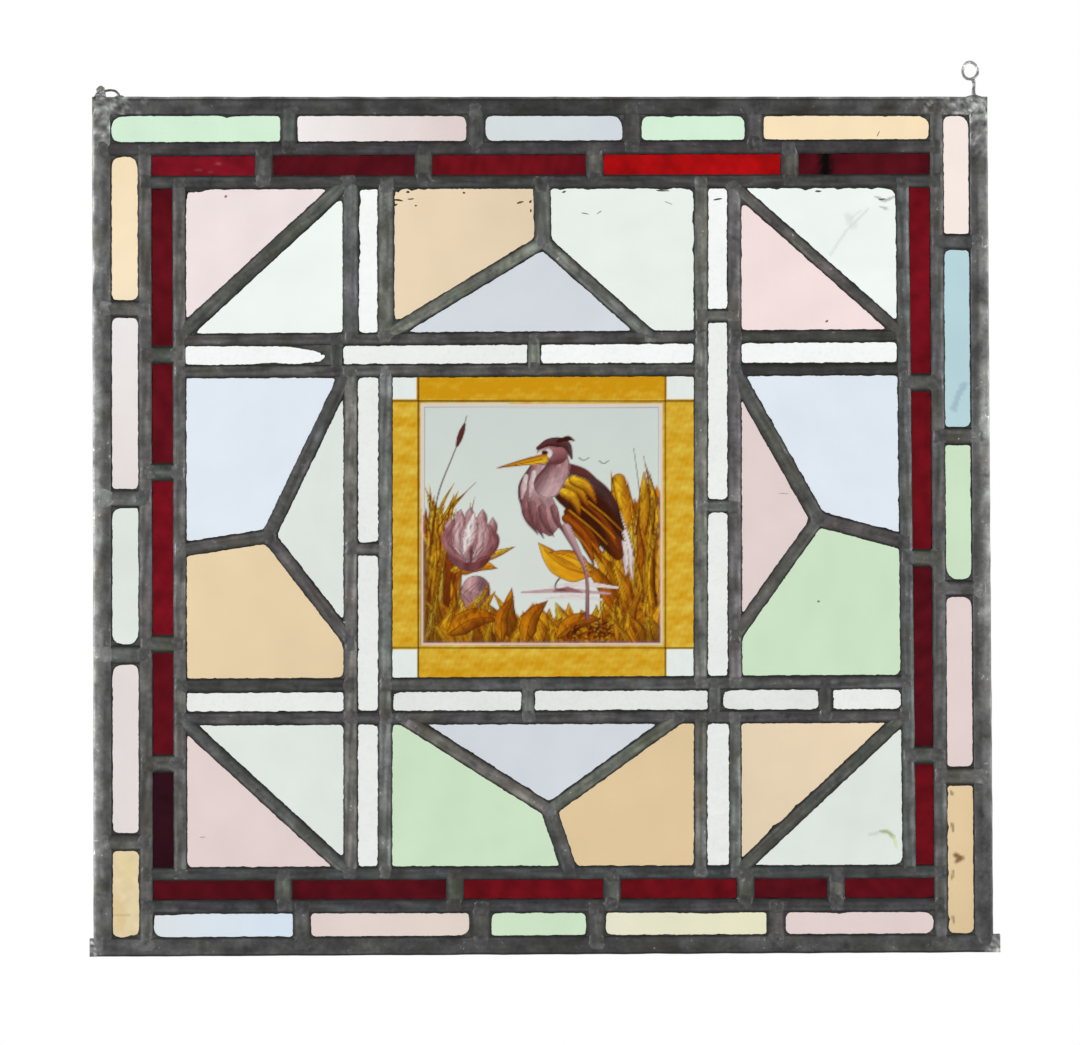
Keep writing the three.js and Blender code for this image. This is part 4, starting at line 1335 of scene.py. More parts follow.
def borderSection():
    # (distance in from the outer edge, through), front leaf first
    leaf, under, web = leadSizes["borderLeaf"], leadSizes["under"], 2.2 * mm
    u = np.array([0, 0.05, 0.25, 0.7, 1.4, 2.6, 4.0, 5.6, 7.0, 8.1, 8.8, 9.0]) / 9 * leaf
    v = np.array([1.9, 2.25, 2.62, 2.86, 2.97, 3.0, 2.98, 2.95, 2.9, 2.78, 2.55, 2.3]) * mm
    front = np.stack([u, -v], -1)
    slot = np.array([[leaf - 0.1 * mm, -under], [web, -under], [web, under], [leaf - 0.1 * mm, under]])
    return np.concatenate([front, slot, front[::-1] * [1, -1]])


def sweepBorder(ends, inward, seed, look):
    # as the came sweep, with its section measured in from the outer edge, and its tone mixed across from the
    # outer to the inner half; the outer rim, the groove and the inner lip carry painted light and shade;
    # silvery patches take over towards the ends
    section = borderSection()
    start, end = ends
    length = np.hypot(*(end - start))
    along = (end - start) / length
    across = np.array([along[1], -along[0]])
    across = across * np.sign(across @ np.array(inward))
    s = np.linspace(0, length, int(length / (1.4 * mm)) + 1)
    count, n = len(s), len(section)
    dent = 0.14 * mm * sway(s, seed, 26 * mm)
    share = section[:, 0] / leadSizes["borderLeaf"]
    u = section[None, :, 0] + dent[:, None] * (1 - share[None, :])
    u = u + 0.12 * mm * share[None, :] * sway(s, seed + 1, 20 * mm)[:, None]
    far, deep = np.repeat(s[:, None], n, 1), np.repeat(section[None, :, 0], count, 0)
    v = section[None, :, 1] * (1 + 0.02 * ripple(far, deep, seed + 2, 16 * mm))
    points, quads, caps = carrySection(start, along, across, s, u, v)
    streak = ripple(far * 0.3, deep * 2.2, seed + 3, 8 * mm)
    blotch = np.clip(ripple(far * 0.6, deep, seed + 4, 16 * mm), -1, 1)
    # each half goes evenly from end to middle to end, under slow swings of its own
    outer, inner = (np.interp(s / length, (0, 0.5, 1), row) * (1 + 0.12 * sway(s, seed + 20 + k, 55 * mm))
                    for k, row in enumerate(look["levels"]))
    outer, inner = outer[:, None], inner[:, None]
    edge = 0.5 + 0.12 * sway(s, seed + 5, 22 * mm)[:, None]
    toInner = np.clip((share[None, :] - edge) / 0.3 + 0.5, 0, 1)
    level = (outer * (1 - toInner) + inner * toInner) * (1 + 0.13 * streak + 0.13 * blotch)
    # darker towards the inner lip: painted shade
    level = level * (1 - 0.4 * np.clip((share[None, :] - 0.9) / 0.1, 0, 1))
    # the outer rim and the groove beside it lit or shaded as light from above would fall: painted light
    rim, groove = look["rim"]
    level = level * np.where(share < 0.1, rim, np.where(share < 0.2, groove, 1))[None, :]
    for place, reach in zip((0, length), look["silver"]):
        if reach:
            patch = np.clip(1.4 - np.abs(far - place) / reach + 0.7 * ripple(far, deep, seed + 7, 9 * mm), 0,
                            1)
            bright = 1.5 + 0.8 * ripple(far, deep, seed + 8, 5 * mm)
            bright = bright + 0.5 * ripple(far, deep, seed + 9, 2.4 * mm)
            level = level * (1 - patch) + patch * bright
    return outwards((points, quads, caps, grays(level, 0.3, 2.6)))


borderLooks = {
    # inward; levels of the outer and of the inner half at the low end, the middle and the high end, the side
    # cames' outer halves lighter as a painted highlight; the outer rim and the groove beside it, painted
    # bright on top and dark below as light from above falls; how far silvery solder runs from each end
    "border_came_top": {"inward": (0, -1), "rim": (1.7, 0.62), "silver": (17 * mm, 24 * mm),
                        "levels": [[0.9, 0.65, 0.9], [0.85, 0.6, 0.85]]},
    "border_came_bottom": {"inward": (0, 1), "rim": (0.45, 1.0), "silver": (4 * mm, 7 * mm),
                           "levels": [[0.9, 0.65, 0.85], [0.85, 0.7, 0.85]]},
    "border_came_left": {"inward": (1, 0), "rim": (1.2, 1.1), "silver": (0, 20 * mm),
                         "levels": [[1.2, 1.55, 1.1], [0.9, 1.0, 0.85]]},
    "border_came_right": {"inward": (-1, 0), "rim": (1.0, 1.05), "silver": (0, 19 * mm),
                          "levels": [[0.8, 1.55, 1.2], [0.8, 0.9, 0.85]]},
}


def makeBorder():
    # each border came is swept along the outer edge of its own node
    for k, (node, look) in enumerate(borderLooks.items()):
        shell = sweepBorder(borderEdge(node, look["inward"]), look["inward"], 7000 + 40 * k, look)
        makeToned(pieceName(node, ""), [shell], borderLead, node)


makeBorder()
print("border ready")

# The painted quarry: clear glass with yellow-stained strips and a generic wading bird among leaves.

paints = {
    "skyHigh": (208, 217, 211), "skyLow": (219, 225, 219), "clear": (232, 239, 234), "cream": (226, 205, 190),
    "line": (70, 34, 12), "stain": (217, 173, 40), "stainDeep": (208, 152, 16), "stainPale": (226, 200, 84),
    "amber": (212, 138, 14), "yellow": (226, 178, 32), "lime": (216, 200, 70), "rust": (160, 76, 6),
    "brown": (104, 44, 6), "umber": (62, 24, 8), "mauve": (150, 98, 100), "plum": (96, 46, 50),
    "lilac": (190, 156, 158), "pearl": (218, 208, 205), "slate": (84, 60, 62),
}
paints = {name: toLinear(color) for name, color in paints.items()}
penned = {"edge": "slate", "edgeWidth": 0.25}  # petals and plumes are outlined finely in slate
quarry = {
    "middle": (0.9, -213.7),   # of the picture, in mm, and everything below is in mm from it
    "half": 59.8,
    "square": 62.6,            # where the strips end and the corner squares begin
    "step": 0.56,
}


def smoothCurve(points, count=40):
    # through the points, each stretch a cubic shaped by its neighbours
    p = np.asarray(points, float)
    p = np.concatenate([[2 * p[0] - p[1]], p, [2 * p[-1] - p[-2]]])
    t = np.linspace(0, len(p) - 3 - 1e-9, count)
    k, f = t.astype(int), (t % 1)[:, None]
    a, b, c, d = p[k], p[k + 1], p[k + 2], p[k + 3]
    return 0.5 * (2 * b + (c - a) * f + (2 * a - 5 * b + 4 * c - d) * f**2 + (3 * b - a - 3 * c + d) * f**3)


class Canvas:
    # the quarry's grid of points in mm from its middle, and the colour laid on each so far
    def __init__(self, x, z):
        self.x, self.z = x, z
        self.color = np.zeros((*x.shape, 3))
        self.seed = 300

    def wash(self, mask, color):
        # colour x (1 - mask) + new colour x mask
        self.color = self.color * (1 - mask[..., None]) + mask[..., None] * np.asarray(color)

    def ribbon(self, points, widths, near, far=None, shade=None, edge="line", edgeWidth=0.38, streak=0.22,
               soft=0.45):
        # a stroke of changing width: its colour runs from near to far, one side shaded, with long streaks
        self.seed += 1
        path = smoothCurve(points)
        half = np.interp(np.linspace(0, 1, len(path)), np.linspace(0, 1, len(widths)), widths)
        reach = half.max() + 1.5
        box = np.nonzero((self.x > path[:, 0].min() - reach) & (self.x < path[:, 0].max() + reach)
                         & (self.z > path[:, 1].min() - reach) & (self.z < path[:, 1].max() + reach))
        if not len(box[0]):
            return
        x, z = self.x[box], self.z[box]
        # nearest place on each short stretch of the path, then the nearest stretch
        way, room = np.diff(path, axis=0), np.hypot(*np.diff(path, axis=0).T)
        dx, dz = x[:, None] - path[None, :-1, 0], z[:, None] - path[None, :-1, 1]
        t = np.clip((dx * way[:, 0] + dz * way[:, 1]) / room**2, 0, 1)
        over = np.hypot(dx - t * way[:, 0], dz - t * way[:, 1]) - (half[:-1] + t * np.diff(half))
        at = over.argmin(1)
        pick = np.arange(len(x))
        depth = over[pick, at]
        way = way / room[:, None]
        side = (dx[pick, at] * way[at, 1] - dz[pick, at] * way[at, 0]) / np.maximum(half[at], 0.3)
        share = (at + t[pick, at]) / (len(path) - 1)
        near = paints[near]
        fill = np.repeat(near[None], len(x), 0)
        if far:
            fill = near + (paints[far] - near) * share[:, None]
        if shade:
            toShade = np.clip(side * 0.9 + 0.15, 0, 1)[:, None]
            fill = fill * (1 - toShade) + paints[shade] * toShade
        grain = ripple(share * 6, side * 3.5, self.seed, 2.2)
        fill = fill * (1 + streak * grain)[:, None]
        if edge:
            rim = np.clip(1 - np.abs(depth + edgeWidth) / edgeWidth, 0, 1)[:, None] * 0.9
            fill = fill * (1 - rim) + paints[edge] * rim
        mask = np.clip(0.5 - depth / soft, 0, 1)[:, None]
        self.color[box] = self.color[box] * (1 - mask) + np.clip(fill, 0, 1) * mask

    def line(self, points, width, color="line", taper=1.0):
        # a plain ribbon that narrows to its taper
        self.ribbon(points, [width / 2, width / 2 * taper], color, edge=None, streak=0, soft=0.45)


def paintLeaf(c, foot, tip, width, bend, near, far, shade, rib=True):
    # a pointed leaf from foot to tip, bowed to one side, with a dark midrib
    foot, tip = np.array(foot, float), np.array(tip, float)
    way = tip - foot
    aside = np.array([-way[1], way[0]]) * bend
    path = [foot, foot + 0.5 * way + aside, tip]
    c.ribbon(path, [0.3 * width, width, 0.92 * width, 0.55 * width, 0.15], near, far, shade)
    if rib:
        c.line([foot, foot + 0.45 * way + 0.9 * aside, foot + 0.85 * way + 0.45 * aside], 0.5, "brown", 0.4)


def paintFoliage(c):
    # masses of stalks, tall leaves on the right, and a fan of rays with rushes on the left
    draw = np.random.default_rng(52)
    tones = [("rust", "yellow", "rust"), ("amber", "lime", "rust"), ("amber", "yellow", "brown"),
             ("rust", "amber", "brown"), ("brown", "amber", "umber"), ("brown", "yellow", "umber")]

    def leaf(foot, tip, width, bend, rib=True):
        # one leaf in a drawn tone
        paintLeaf(c, foot, tip, width, bend, *tones[draw.integers(len(tones))], rib)

    wave = 1.6 * ripple(0 * c.x, c.z, 81, 9)
    left = np.clip((np.interp(c.z, [-60, -36, -12, 0, 9, 17], [-33, -37, -44, -47, -52, -61]) + wave
                    - c.x) / 1.5, 0, 1)
    left = left * np.clip((3 + 9 * ripple(c.x, 0 * c.z, 87, 5) - 0.5 * (c.x + 50) - c.z) / 3, 0, 1)
    grain = np.clip(0.55 + 0.6 * ripple(c.x + 0.1 * c.z, 0.12 * c.z, 82, 3.4), 0, 1)
    c.wash(left, paints["brown"] * grain[..., None] + paints["rust"] * (1 - grain)[..., None])
    right = np.clip((c.x - wave - np.interp(c.z, [-60, -30, -5, 12, 24], [32, 36, 42, 45, 53])) / 1.5, 0, 1)
    right = right * np.clip((16 + 6 * ripple(c.x, 0 * c.z, 83, 9) - c.z) / 2, 0, 1)
    grain = np.clip(0.6 + 0.5 * ripple(c.x, 0.15 * c.z, 84, 4), 0, 1)
    c.wash(right, paints["amber"] * grain[..., None] + paints["rust"] * (1 - grain)[..., None])
    c.ribbon([(50, -30), (42, 0), (38.5, 22)], [5, 6.4, 5.2, 3.6], "amber", "yellow", "rust", edge="brown")
    c.ribbon([(57, -20), (52, 6), (51, 26)], [4, 4.6, 3.2, 0.5], "rust", "yellow", "brown", edge="brown")
    # tall leaves on the right, behind the bird
    for x, top in ((52, 30), (44, 22), (57, 12), (38, 27), (49, 4), (56, -8), (41, -6), (35, -14), (52, -20)):
        leaf((x + draw.uniform(-3, 3), -58), (x + draw.uniform(-4, 3), top), draw.uniform(3.2, 5.2),
             draw.uniform(-0.1, 0.1))
    for x, top in ((48, 6), (54, 16), (45, -10), (58, 2), (39, -22), (51, -28), (57, -34), (43, -38)):
        leaf((x + draw.uniform(-2, 2), -58), (x + draw.uniform(-6, 6), top), draw.uniform(1.6, 3.0),
             draw.uniform(-0.14, 0.14))
    for foot, tip, width in (((40, -50), (22, -6), 5.4), ((42, -50), (30, -4), 5.0),
                             ((46, -54), (37, -8), 4.6), ((38, -44), (19, -16), 4.2),
                             ((42, -40), (28, -14), 3.6), ((44, -48), (35, -18), 3.4)):
        leaf(foot, tip, width, draw.uniform(-0.1, 0.02))
    for x, top in ((55, 34), (58, 26), (50, 38)):
        c.line([(x - 3, -5), (x - 1, 12), (x - 4, top)], 0.9, "brown", 0.3)
    # a fan of pale rays, then rushes on the left, rising out of the lower corner
    for k in range(18):
        foot = (-56 + draw.uniform(-2, 9), draw.uniform(-12, 0))
        turn = draw.uniform(-0.25, 0.75)
        tip = (foot[0] + 26 * math.sin(turn) * draw.uniform(0.6, 1),
               foot[1] + 30 * math.cos(turn) * draw.uniform(0.6, 1))
        paintLeaf(c, foot, tip, draw.uniform(0.9, 1.9), draw.uniform(-0.1, 0.1),
                  ["amber", "yellow", "rust"][k % 3], "lime", "amber", False)
    for k in range(34):
        foot = (-58 + draw.uniform(-2, 15), -59)
        lean, height = draw.uniform(-0.08, 0.16), draw.uniform(34, 74)
        tip = (foot[0] + lean * height, -59 + height)
        color, end = [("brown", "rust"), ("amber", "yellow"), ("umber", "rust"), ("rust", "lime"),
                      ("brown", "amber")][k % 5]
        middle = (foot[0] + 0.3 * lean * height, -59 + 0.55 * height)
        c.ribbon([foot, middle, tip], [2.2, 1.9, 1.2, 0.15], color, end, "brown", edge="brown",
                 edgeWidth=0.22)
    c.line([(-55, -10), (-52, 14), (-45, 33), (-40, 45)], 0.9, "brown", 0.6)
    c.ribbon([(-42.3, 39.5), (-40.6, 44.5), (-38.6, 50)], [0.8, 1.5, 1.5, 0.7], "plum", None, "umber",
             edge="umber")
    c.line([(-38.6, 50), (-37.6, 54)], 0.5, "slate")
    c.line([(-52, -2), (-44, 10), (-33, 21)], 0.7, "brown", 0.4)


def paintFlowers(c):
    # a large open flower and a bud on the left, with a leaf under each
    paintLeaf(c, (-40, -17), (-13, -11), 2.7, -0.06, "amber", "lime", "rust")
    paintLeaf(c, (-44, -23), (-22, -22), 4.4, 0.12, "yellow", "amber", "rust")
    c.line([(-37, -14), (-44, -34), (-47, -55)], 1.4, "rust")
    c.ribbon([(-37, -19), (-35.5, -9), (-35, -4)], [4, 11.5, 10.5, 8], "plum", "mauve", "plum", **penned,
             streak=0.4)
    for x, z in ((-46, 3), (-41, 7.5), (-36, 8.5), (-30, 7.5), (-25, 3.5)):
        c.ribbon([(-36 + 0.6 * (x + 36), -10), (x, z - 6), (x + 0.5, z)], [3, 3.2, 2.4, 0.3], "mauve",
                 "lilac", "plum", **penned,
                 streak=0.4)
    for foot, middle, tip, width, near, shade in (
            ((-38, -18), (-46, -9), (-45, 0), 3.6, "mauve", "plum"),
            ((-33, -18), (-25, -10), (-26, -1), 3.6, "mauve", "plum"),
            ((-37, -18), (-41, -7), (-40, 4), 3.8, "lilac", "mauve"),
            ((-34, -18), (-29, -7), (-30, 3), 3.4, "lilac", "mauve"),
            ((-39, -14), (-36, -5), (-34, 5), 2.9, "pearl", "lilac")):
        c.ribbon([foot, middle, tip], [1.0, width, width, 0.25 * width], near, None, shade, edge="mauve",
                 edgeWidth=0.25, streak=0.45)
    for offset in (-9, -6.5, -4, 3, 5.5, 8):
        c.line([(-36 + 0.2 * offset, -18), (-36 + 1.25 * offset, -8), (-35 + 0.9 * offset, 1)], 0.4, "slate",
               0.5)
    c.line([(-34, -40), (-37, -50), (-38, -58)], 1.2, "rust")
    c.ribbon([(-33, -40), (-33, -34.5), (-32.5, -29)], [3.5, 7.4, 7.2, 3.5], "mauve", "lilac", "plum",
             **penned, streak=0.4)
    for offset in (-5, -2.5, 1, 3.5):
        c.line([(-33 + 0.3 * offset, -40), (-33 + 1.2 * offset, -35), (-30 + 0.5 * offset, -29)], 0.45,
               "plum", 0.5)
    paintLeaf(c, (-36, -41), (-26, -29), 1.5, -0.1, "lime", "yellow", "amber")


def paintHatching(c):
    # brown pen strokes over everything leafy, where a fine ripple along the leaves stands above its mean
    leafy = ((c.color[..., 2] < 0.1) & (c.color[..., 0] > 3 * c.color[..., 2])).astype(float)
    lean = c.x + 3 * np.sin(c.z / 9 + 0.12 * c.x)
    for seed, size, depth, x, z in ((91, 2.3, 0.75, lean, 0.16 * c.z),
            (92, 3.4, 0.6, lean + 0.7 * c.z, 0.3 * c.z),
                                    (93, 12, 0.7, c.x, c.z), (94, 2.0, 0.5, c.x - 0.5 * c.z, 0.25 * c.z)):
        stroke = np.clip(ripple(x, z, seed, size) - 0.15, 0, 1) * depth
        c.wash(np.clip(stroke, 0, 0.85) * leafy, paints["brown"])
    lower = np.clip((-50 - c.z) / 10, 0, 1) * 0.25
    lower = lower + np.clip((-46 - c.x) / 10, 0, 1) * np.clip((-12 - c.z) / 12, 0, 1) * 0.45
    c.wash(lower * leafy, paints["umber"])


def paintBird(c):
    # far leg, tail, body, wing, breast, neck, head and bill, from the back forwards
    for foot, middle, tip in (((37, 4), (43, -12), (45, -27)), ((35, 2), (41, -12), (42, -25))):
        c.ribbon([foot, middle, tip], [3, 2.6, 1.9, 0.4], "pearl", "pearl", "mauve", **penned)
    c.line([(23, -25), (14, -24), (8, -28), (7, -32), (12, -33)], 1.1, "slate", 0.7)
    c.ribbon([(8, 24), (19, 16), (29, 2), (38, -15)], [8, 11, 11, 8, 3], "plum", "brown", "umber", streak=0.3)
    c.ribbon([(14, 24), (30, 15), (40, -2)], [2.5, 5, 4, 1.5], "slate", "umber", "umber", streak=0.3)
    for k, (foot, tip, tone) in enumerate((((13, 6), (30, -19), "brown"), ((15, 9), (34, -15), "umber"),
            ((18, 13), (38, -12), "brown"),
                                           ((20, 17), (41, -8), "umber"), ((12, 3), (26, -20), "rust"))):
        bow = (foot[0] + 0.5 * (tip[0] - foot[0]) + 2, foot[1] + 0.5 * (tip[1] - foot[1]) + 1.5)
        c.ribbon([foot, bow, tip], [2.2, 3.0, 2.6, 0.5], tone, "rust" if k % 2 == 0 else "umber", "umber",
                 streak=0.35)
        for shift in (-1.2, 0.4, 1.6):
            c.line([(foot[0] + shift, foot[1] - 2), (bow[0] + shift, bow[1] - 1),
                    (tip[0] + shift, tip[1] + 5)], 0.5, "amber" if shift < 0 else "umber", 0.4)
    for foot, tip in (((12, 21), (23, 9)), ((16, 22), (27, 11)), ((11, 16), (19, 5))):
        bow = (0.5 * (foot[0] + tip[0]) + 1, 0.5 * (foot[1] + tip[1]) + 2)
        c.ribbon([foot, bow, tip], [2.6, 2.9, 2.0, 0.5], "yellow", "rust", "brown", edge="brown", streak=0.3)
    paintLeaf(c, (23, -25), (-2, -9), 6.2, 0.12, "amber", "yellow", "rust")
    paintLeaf(c, (24, -22), (3, -14), 3.4, -0.1, "yellow", "amber", "rust")
    c.ribbon([(12, -2), (19, -16), (22.5, -27), (22.8, -47)], [2.6, 1.7, 1.0, 0.9, 1.1], "lilac", "mauve",
             "plum", edge="slate",
             edgeWidth=0.2)
    c.ribbon([(-1, 27), (-4, 15), (2, 4), (4, -4)], [5.5, 8, 8, 6.5, 2], "lilac", "mauve", "plum",
             edge="slate", streak=0.35)
    for foot, tip in (((-9, 12), (-2, -5)), ((-5, 10), (1, -7)), ((0, 8), (6, -6)), ((6, 8), (11, -4))):
        c.ribbon([foot, (foot[0] + 1.5, 0.5 * (foot[1] + tip[1])), tip], [2.0, 1.9, 1.4, 0.3], "mauve",
                 "plum", "slate",
                 edge="slate", edgeWidth=0.2, streak=0.35)
    for foot, tip in (((-8, 24), (-10, 13)), ((-4, 26), (-6, 14)), ((-1, 25), (-2, 15))):
        c.ribbon([foot, tip], [1.0, 1.5, 0.4], "pearl", "lilac", "lilac", edge=None, streak=0.2)
    c.ribbon([(7, 36), (8, 28), (3, 20)], [5.2, 6.0, 7.0], "mauve", "lilac", "plum", edge="slate", streak=0.3)
    c.ribbon([(2, 35), (7, 36)], [4.6, 6.2], "lilac", "mauve", "plum", edge="slate", streak=0.25)
    c.ribbon([(-2, 38), (4, 41), (12, 40), (15, 33)], [1.0, 1.9, 2.6, 2.0, 0.6], "plum", "slate", "umber",
             edge="umber")
    c.ribbon([(8, 41.5), (13, 43), (16, 42)], [0.9, 1.4, 0.5], "umber", edge=None)
    c.ribbon([(-1, 34.5), (3, 35.5)], [1.6, 2.2], "pearl", edge=None, streak=0.1)
    c.ribbon([(1.2, 35.8), (1.8, 35.8)], [1.3, 1.3], "umber", edge=None, streak=0)
    c.ribbon([(1, 32.8), (-9, 31), (-22.5, 28.2)], [2.4, 2.1, 1.3, 0.25], "yellow", "amber", "rust",
             edge="brown", streak=0.2)
    c.line([(0, 32.6), (-10, 30.4), (-21, 28.2)], 0.5, "brown", 0.6)
    c.line([(-1, 30.3), (4, 29.5), (8, 32)], 0.6, "slate", 0.5)


def paintGround(c):
    # distant birds and pale water, then rows of leaves over dark ground, and a patch of short strokes
    draw = np.random.default_rng(77)
    for x, z in ((21, 32), (31, 30.5)):
        c.line([(x - 2.4, z + 1.2), (x, z), (x + 2.6, z + 1.4)], 0.6, "slate", 0.6)
    for z, x0, x1, color in ((-31, 4, 38, "pearl"), (-34, -10, 34, "lilac"), (-37, 2, 30, "pearl"),
                             (-33.5, 6, 20, "mauve")):
        c.ribbon([(x0, z), (0.5 * (x0 + x1), z + 1), (x1, z - 0.6)], [0.5, 1.4, 0.4], color, edge=None,
                 streak=0.1)
    tones = [("rust", "yellow", "rust"), ("amber", "lime", "rust"), ("brown", "yellow", "brown"),
             ("rust", "yellow", "amber"),
             ("umber", "amber", "brown"), ("amber", "yellow", "rust")]
    ground = np.clip((-43 + 5 * ripple(c.x, 0 * c.z, 85, 16) - c.z) / 1.5, 0, 1)
    grain = np.clip(0.5 + 0.4 * ripple(c.x, c.z, 86, 5), 0, 1)[..., None]
    c.wash(ground, paints["brown"] * grain + paints["amber"] * (1 - grain))
    for row, (low, high, count) in enumerate(((-50, -31, 22), (-54, -38, 24), (-59, -45, 24))):
        for x in np.linspace(-57, 58, count) + draw.uniform(-2, 2, count):
            lean, size = draw.uniform(-9, 9), draw.uniform(0.5, 1.0)
            tip = (x + lean, low + (high - low) * size * (0.6 if -8 < x < 34 and row == 0 else 1))
            paintLeaf(c, (x, low - 8), tip, draw.uniform(2.2, 4.4), draw.uniform(-0.18, 0.18),
                      *tones[draw.integers(len(tones))], rib=draw.random() < 0.7)
    for foot, tip, width in (((-46, -54), (-20, -47), 5.6), ((8, -56), (30, -47), 4.6),
                             ((-8, -58), (3, -38), 4.6), ((-20, -58), (-14, -36), 3.6)):
        paintLeaf(c, foot, tip, width, 0.14, "amber", "rust", "brown")
    for x, z in zip(draw.uniform(12, 35, 110), draw.uniform(-59, -50, 110)):
        c.line([(x, z), (x + draw.uniform(-2.5, 2.5), z + draw.uniform(-1, 2))], 0.9,
               ["umber", "brown", "rust"][draw.integers(3)])


def paintQuarry(x, z):
    # x and z are panel metres; gives the colour seen through each point
    c = Canvas(x / mm - quarry["middle"][0], z / mm - quarry["middle"][1])
    half, square = quarry["half"], quarry["square"]
    height = np.clip((c.z + half) / (2 * half), 0, 1)[..., None]
    c.color[:] = paints["skyLow"] * (1 - height) + paints["skyHigh"] * height
    c.color *= 1 + 0.012 * ripple(c.x, c.z, 41, 25)[..., None]
    paintFoliage(c)
    paintFlowers(c)
    paintGround(c)
    paintHatching(c)
    paintBird(c)
    across, up = np.abs(c.x), np.abs(c.z)
    # the stained strips, deeper along their outer sides, and mottled
    strip = (np.maximum(across, up) > half + 0.6).astype(float)
    mottle = 0.55 + 0.34 * ripple(c.x, c.z, 42, 12) + 0.2 * ripple(c.x, c.z, 43, 3)
    mottle = np.clip(mottle + 0.35 * (c.z > square) + 0.012 * (up - square) * (up > square), 0, 1)[..., None]
    stain = paints["stainPale"] * (1 - mottle) ** 2 + 2 * paints["stain"] * mottle * (1 - mottle)
    stain = stain + paints["stainDeep"] * mottle**2
    c.wash(strip, stain)
    corner = ((across > square) & (up > square)).astype(float)
    c.wash(corner, paints["clear"] * (1 + 0.02 * ripple(c.x, c.z, 44, 8)[..., None]))
    # cream frame line with a fine dark line each side, then the dark lines that run right across
    outside = np.maximum(across, up)
    c.wash(np.clip(1.3 - np.abs(outside - half) / 0.6, 0, 1), paints["cream"])
    c.wash(0.55 * np.clip(1.2 - np.abs(outside - half + 1.3) / 0.3, 0, 1), paints["mauve"])
    for distance in (across, up):
        c.wash(0.92 * np.clip(1.5 - np.abs(distance - square + 0.9) / 0.42, 0, 1), paints["line"])
    return c.color


def makeQuarry():
    # one fine sheet carries the paint; the back is plain, so the front holds the colour squared
    ring = [r for n, _, r in panes if n == "painted_quarry"][0]
    n = int(np.ptp(ring[:, 0]) / (quarry["step"] * mm)) + 1
    x, z = ruledSheet(*chains(ring), np.linspace(0, 1, n), n)
    y = -glassHalf + 0.04 * mm * ripple(x, z, 61, 30 * mm)
    color = paintQuarry(x, z)
    front = np.stack([x, y, z], -1).reshape(-1, 3)
    rim = gridRim(n, n)
    back = front[rim] * [1, 0, 1] + [0, glassHalf, 0]
    own, after = n * n + np.arange(len(rim)), np.roll(rim, -1)
    sides = np.stack([rim, own, np.roll(own, -1), after], -1)
    points = np.concatenate([front, back])
    quads = np.concatenate([gridQuads(n, n), sides])
    tints = np.concatenate([color.reshape(-1, 3) ** 2, np.ones((len(rim), 3))])
    makePiece("paintedQuarryPane", points, quads, paintedGlass, [own[::-1]],
              ["painted_quarry"], {"tint": tints}, weld=0.002 * mm)


makeQuarry()
print("painted quarry ready")

# Hanging eyes: bent wire standing in lumps of solder on the top edge.


def tube(path, radius, closed=False, sides=14, seed=1, tone=1.0):
    # a round section carried along a path that lies near the panel's own plane
    path = np.asarray(path, float)
    way = np.roll(path, -1, 0) - np.roll(path, 1, 0) if closed else np.gradient(path, axis=0)
    way = way / np.linalg.norm(way, axis=1)[:, None]
    side = np.cross(way, [0, 1, 0])
    side = side / np.linalg.norm(side, axis=1)[:, None]
    through = np.cross(side, way)
    angle = np.linspace(0, math.tau, sides, endpoint=False)
    thick = np.broadcast_to(radius, len(path))[:, None, None]
    rough = 1 + 0.05 * ripple(np.arange(len(path))[:, None] * 0.5, angle[None, :], seed, 3)
    ring = np.cos(angle)[None, :, None] * side[:, None] + np.sin(angle)[None, :, None] * through[:, None]
    points = path[:, None] + thick * rough[..., None] * ring
    quads = gridQuads(len(path), sides, closed, True)
    caps = [] if closed else endCaps(len(path), sides)
    level = tone * (1 + 0.25 * ripple(np.arange(len(path))[:, None] * 0.4, angle[None, :], seed + 1, 4))
    return outwards((points.reshape(-1, 3), quads, caps, grays(level)))


def lump(center, size, seed, roughness=0.14, tone=1.2, rows=18, columns=28):
    # a rough egg of solder; the poles are small rings closed by a face each
    up = np.linspace(0.06, math.pi - 0.06, rows)[:, None]
    turn = np.linspace(0, math.tau, columns, endpoint=False)[None, :]
    x, y, z = np.sin(up) * np.cos(turn), np.sin(up) * np.sin(turn), np.cos(up) + 0 * turn
    pits = 0.6 * ripple(y - x, z + x, seed + 1, 1.1)
    swell = 1 + roughness * (ripple(2 * x + y, 2 * z - y, seed, 2.2) + pits)
    points = np.stack([x, y, z], -1) * swell[..., None] * np.array(size) / 2 + np.array(center)
    quads, caps = gridQuads(rows, columns, wrapColumns=True), endCaps(rows, columns)
    level = tone * (1 + 0.35 * ripple(3 * x + y, 3 * z - y, seed + 2, 1.4))
    return outwards((points.reshape(-1, 3), quads, caps, grays(level)))


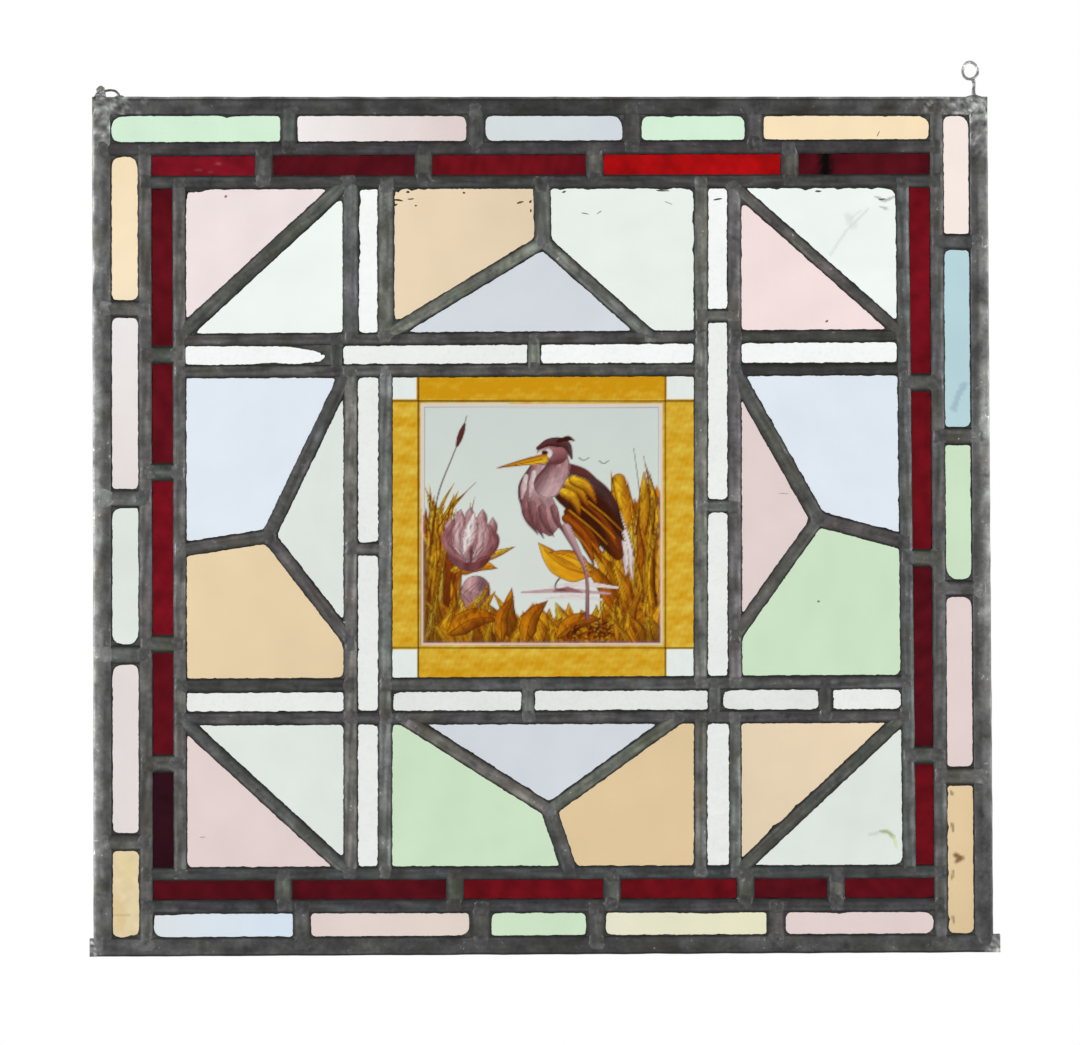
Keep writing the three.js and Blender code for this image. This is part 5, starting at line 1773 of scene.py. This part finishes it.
def makeEyes():
    # right: a ring on a bent shank; left: a flattened wire; each with lumps of solder
    low, high = (np.array(p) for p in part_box("hanging_eye_right"))
    wire = 0.72 * mm
    half = np.array([3.75, 4.25]) * mm
    center = np.array([low[0] + half[0] + 0.7 * mm, high[2] - half[1] - 0.7 * mm])
    angle = np.linspace(0, math.tau, 72, endpoint=False)
    # the ring is a little squarer than an ellipse on its left side, and bent slightly out of plane
    squeeze = 1 + 0.025 * np.cos(3 * angle + 0.6)
    loop = np.stack([center[0] + half[0] * squeeze * np.cos(angle), 0.35 * mm * np.sin(angle),
                     center[1] + half[1] * squeeze * np.sin(angle)], -1)
    foot = center[0] + 2.1 * mm
    shank = smoothCurve([
        (foot - 1.2 * mm, center[1] - 3.5 * mm), (foot - 0.4 * mm, center[1] - 5.2 * mm),
        (foot - 0.1 * mm, center[1] - 7.6 * mm), (foot - 0.4 * mm, center[1] - 10 * mm), (foot, -1.5 * mm)],
                        40)
    shank = np.stack([shank[:, 0], 0.2 * mm * np.sin(np.linspace(0, 5, 40)), shank[:, 1]], -1)
    thick = np.interp(np.linspace(0, 1, 40), [0, 0.15, 0.5, 0.8, 1], [0.75, 1.0, 0.72, 0.95, 1.5]) * mm
    shells = [tube(loop, wire, True, seed=11, tone=1.6), tube(shank, thick, seed=12, tone=1.1),
              lump((foot, 0, 0.1 * mm), (6.4 * mm, 4.4 * mm, 1.9 * mm), 13),
              lump((foot - 1 * mm, -1.2 * mm, -1.6 * mm), (9 * mm, 3.6 * mm, 4.6 * mm), 14)]
    makeToned("rightHangingEye", shells, wireMetal, "hanging_eye_right")

    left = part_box("hanging_eye_left")[0][0]
    bent = smoothCurve([
        (left + 1.6 * mm, 2.6 * mm), (left + 4.2 * mm, 3.0 * mm), (left + 6.6 * mm, 3.4 * mm),
        (left + 9.2 * mm, 3.0 * mm), (left + 10.9 * mm, 1.4 * mm), (left + 12.0 * mm, -0.8 * mm)], 60)
    bent = np.stack([bent[:, 0], 0.5 * mm * np.sin(np.linspace(0, 4, 60)), bent[:, 1]], -1)
    shells = [
        tube(bent, 0.6 * mm, seed=21),
        lump((left + 2.2 * mm, 0, 3.0 * mm), (4.6 * mm, 4.4 * mm, 5.0 * mm), 23, 0.12, tone=1.5),
        lump((left + 1.9 * mm, 0, 0.8 * mm), (5.6 * mm, 4.6 * mm, 3.6 * mm), 22, 0.14, tone=1.4),
        lump((left + 1.2 * mm, -0.6 * mm, -1.2 * mm), (5.4 * mm, 5.2 * mm, 4.4 * mm), 24, 0.18, tone=1.4),
        lump((left + 11.5 * mm, 0, -0.3 * mm), (5.2 * mm, 4.4 * mm, 2.4 * mm), 25)]
    makeToned("leftHangingEye", shells, wireMetal, "hanging_eye_left")


makeEyes()
print("eyes ready")
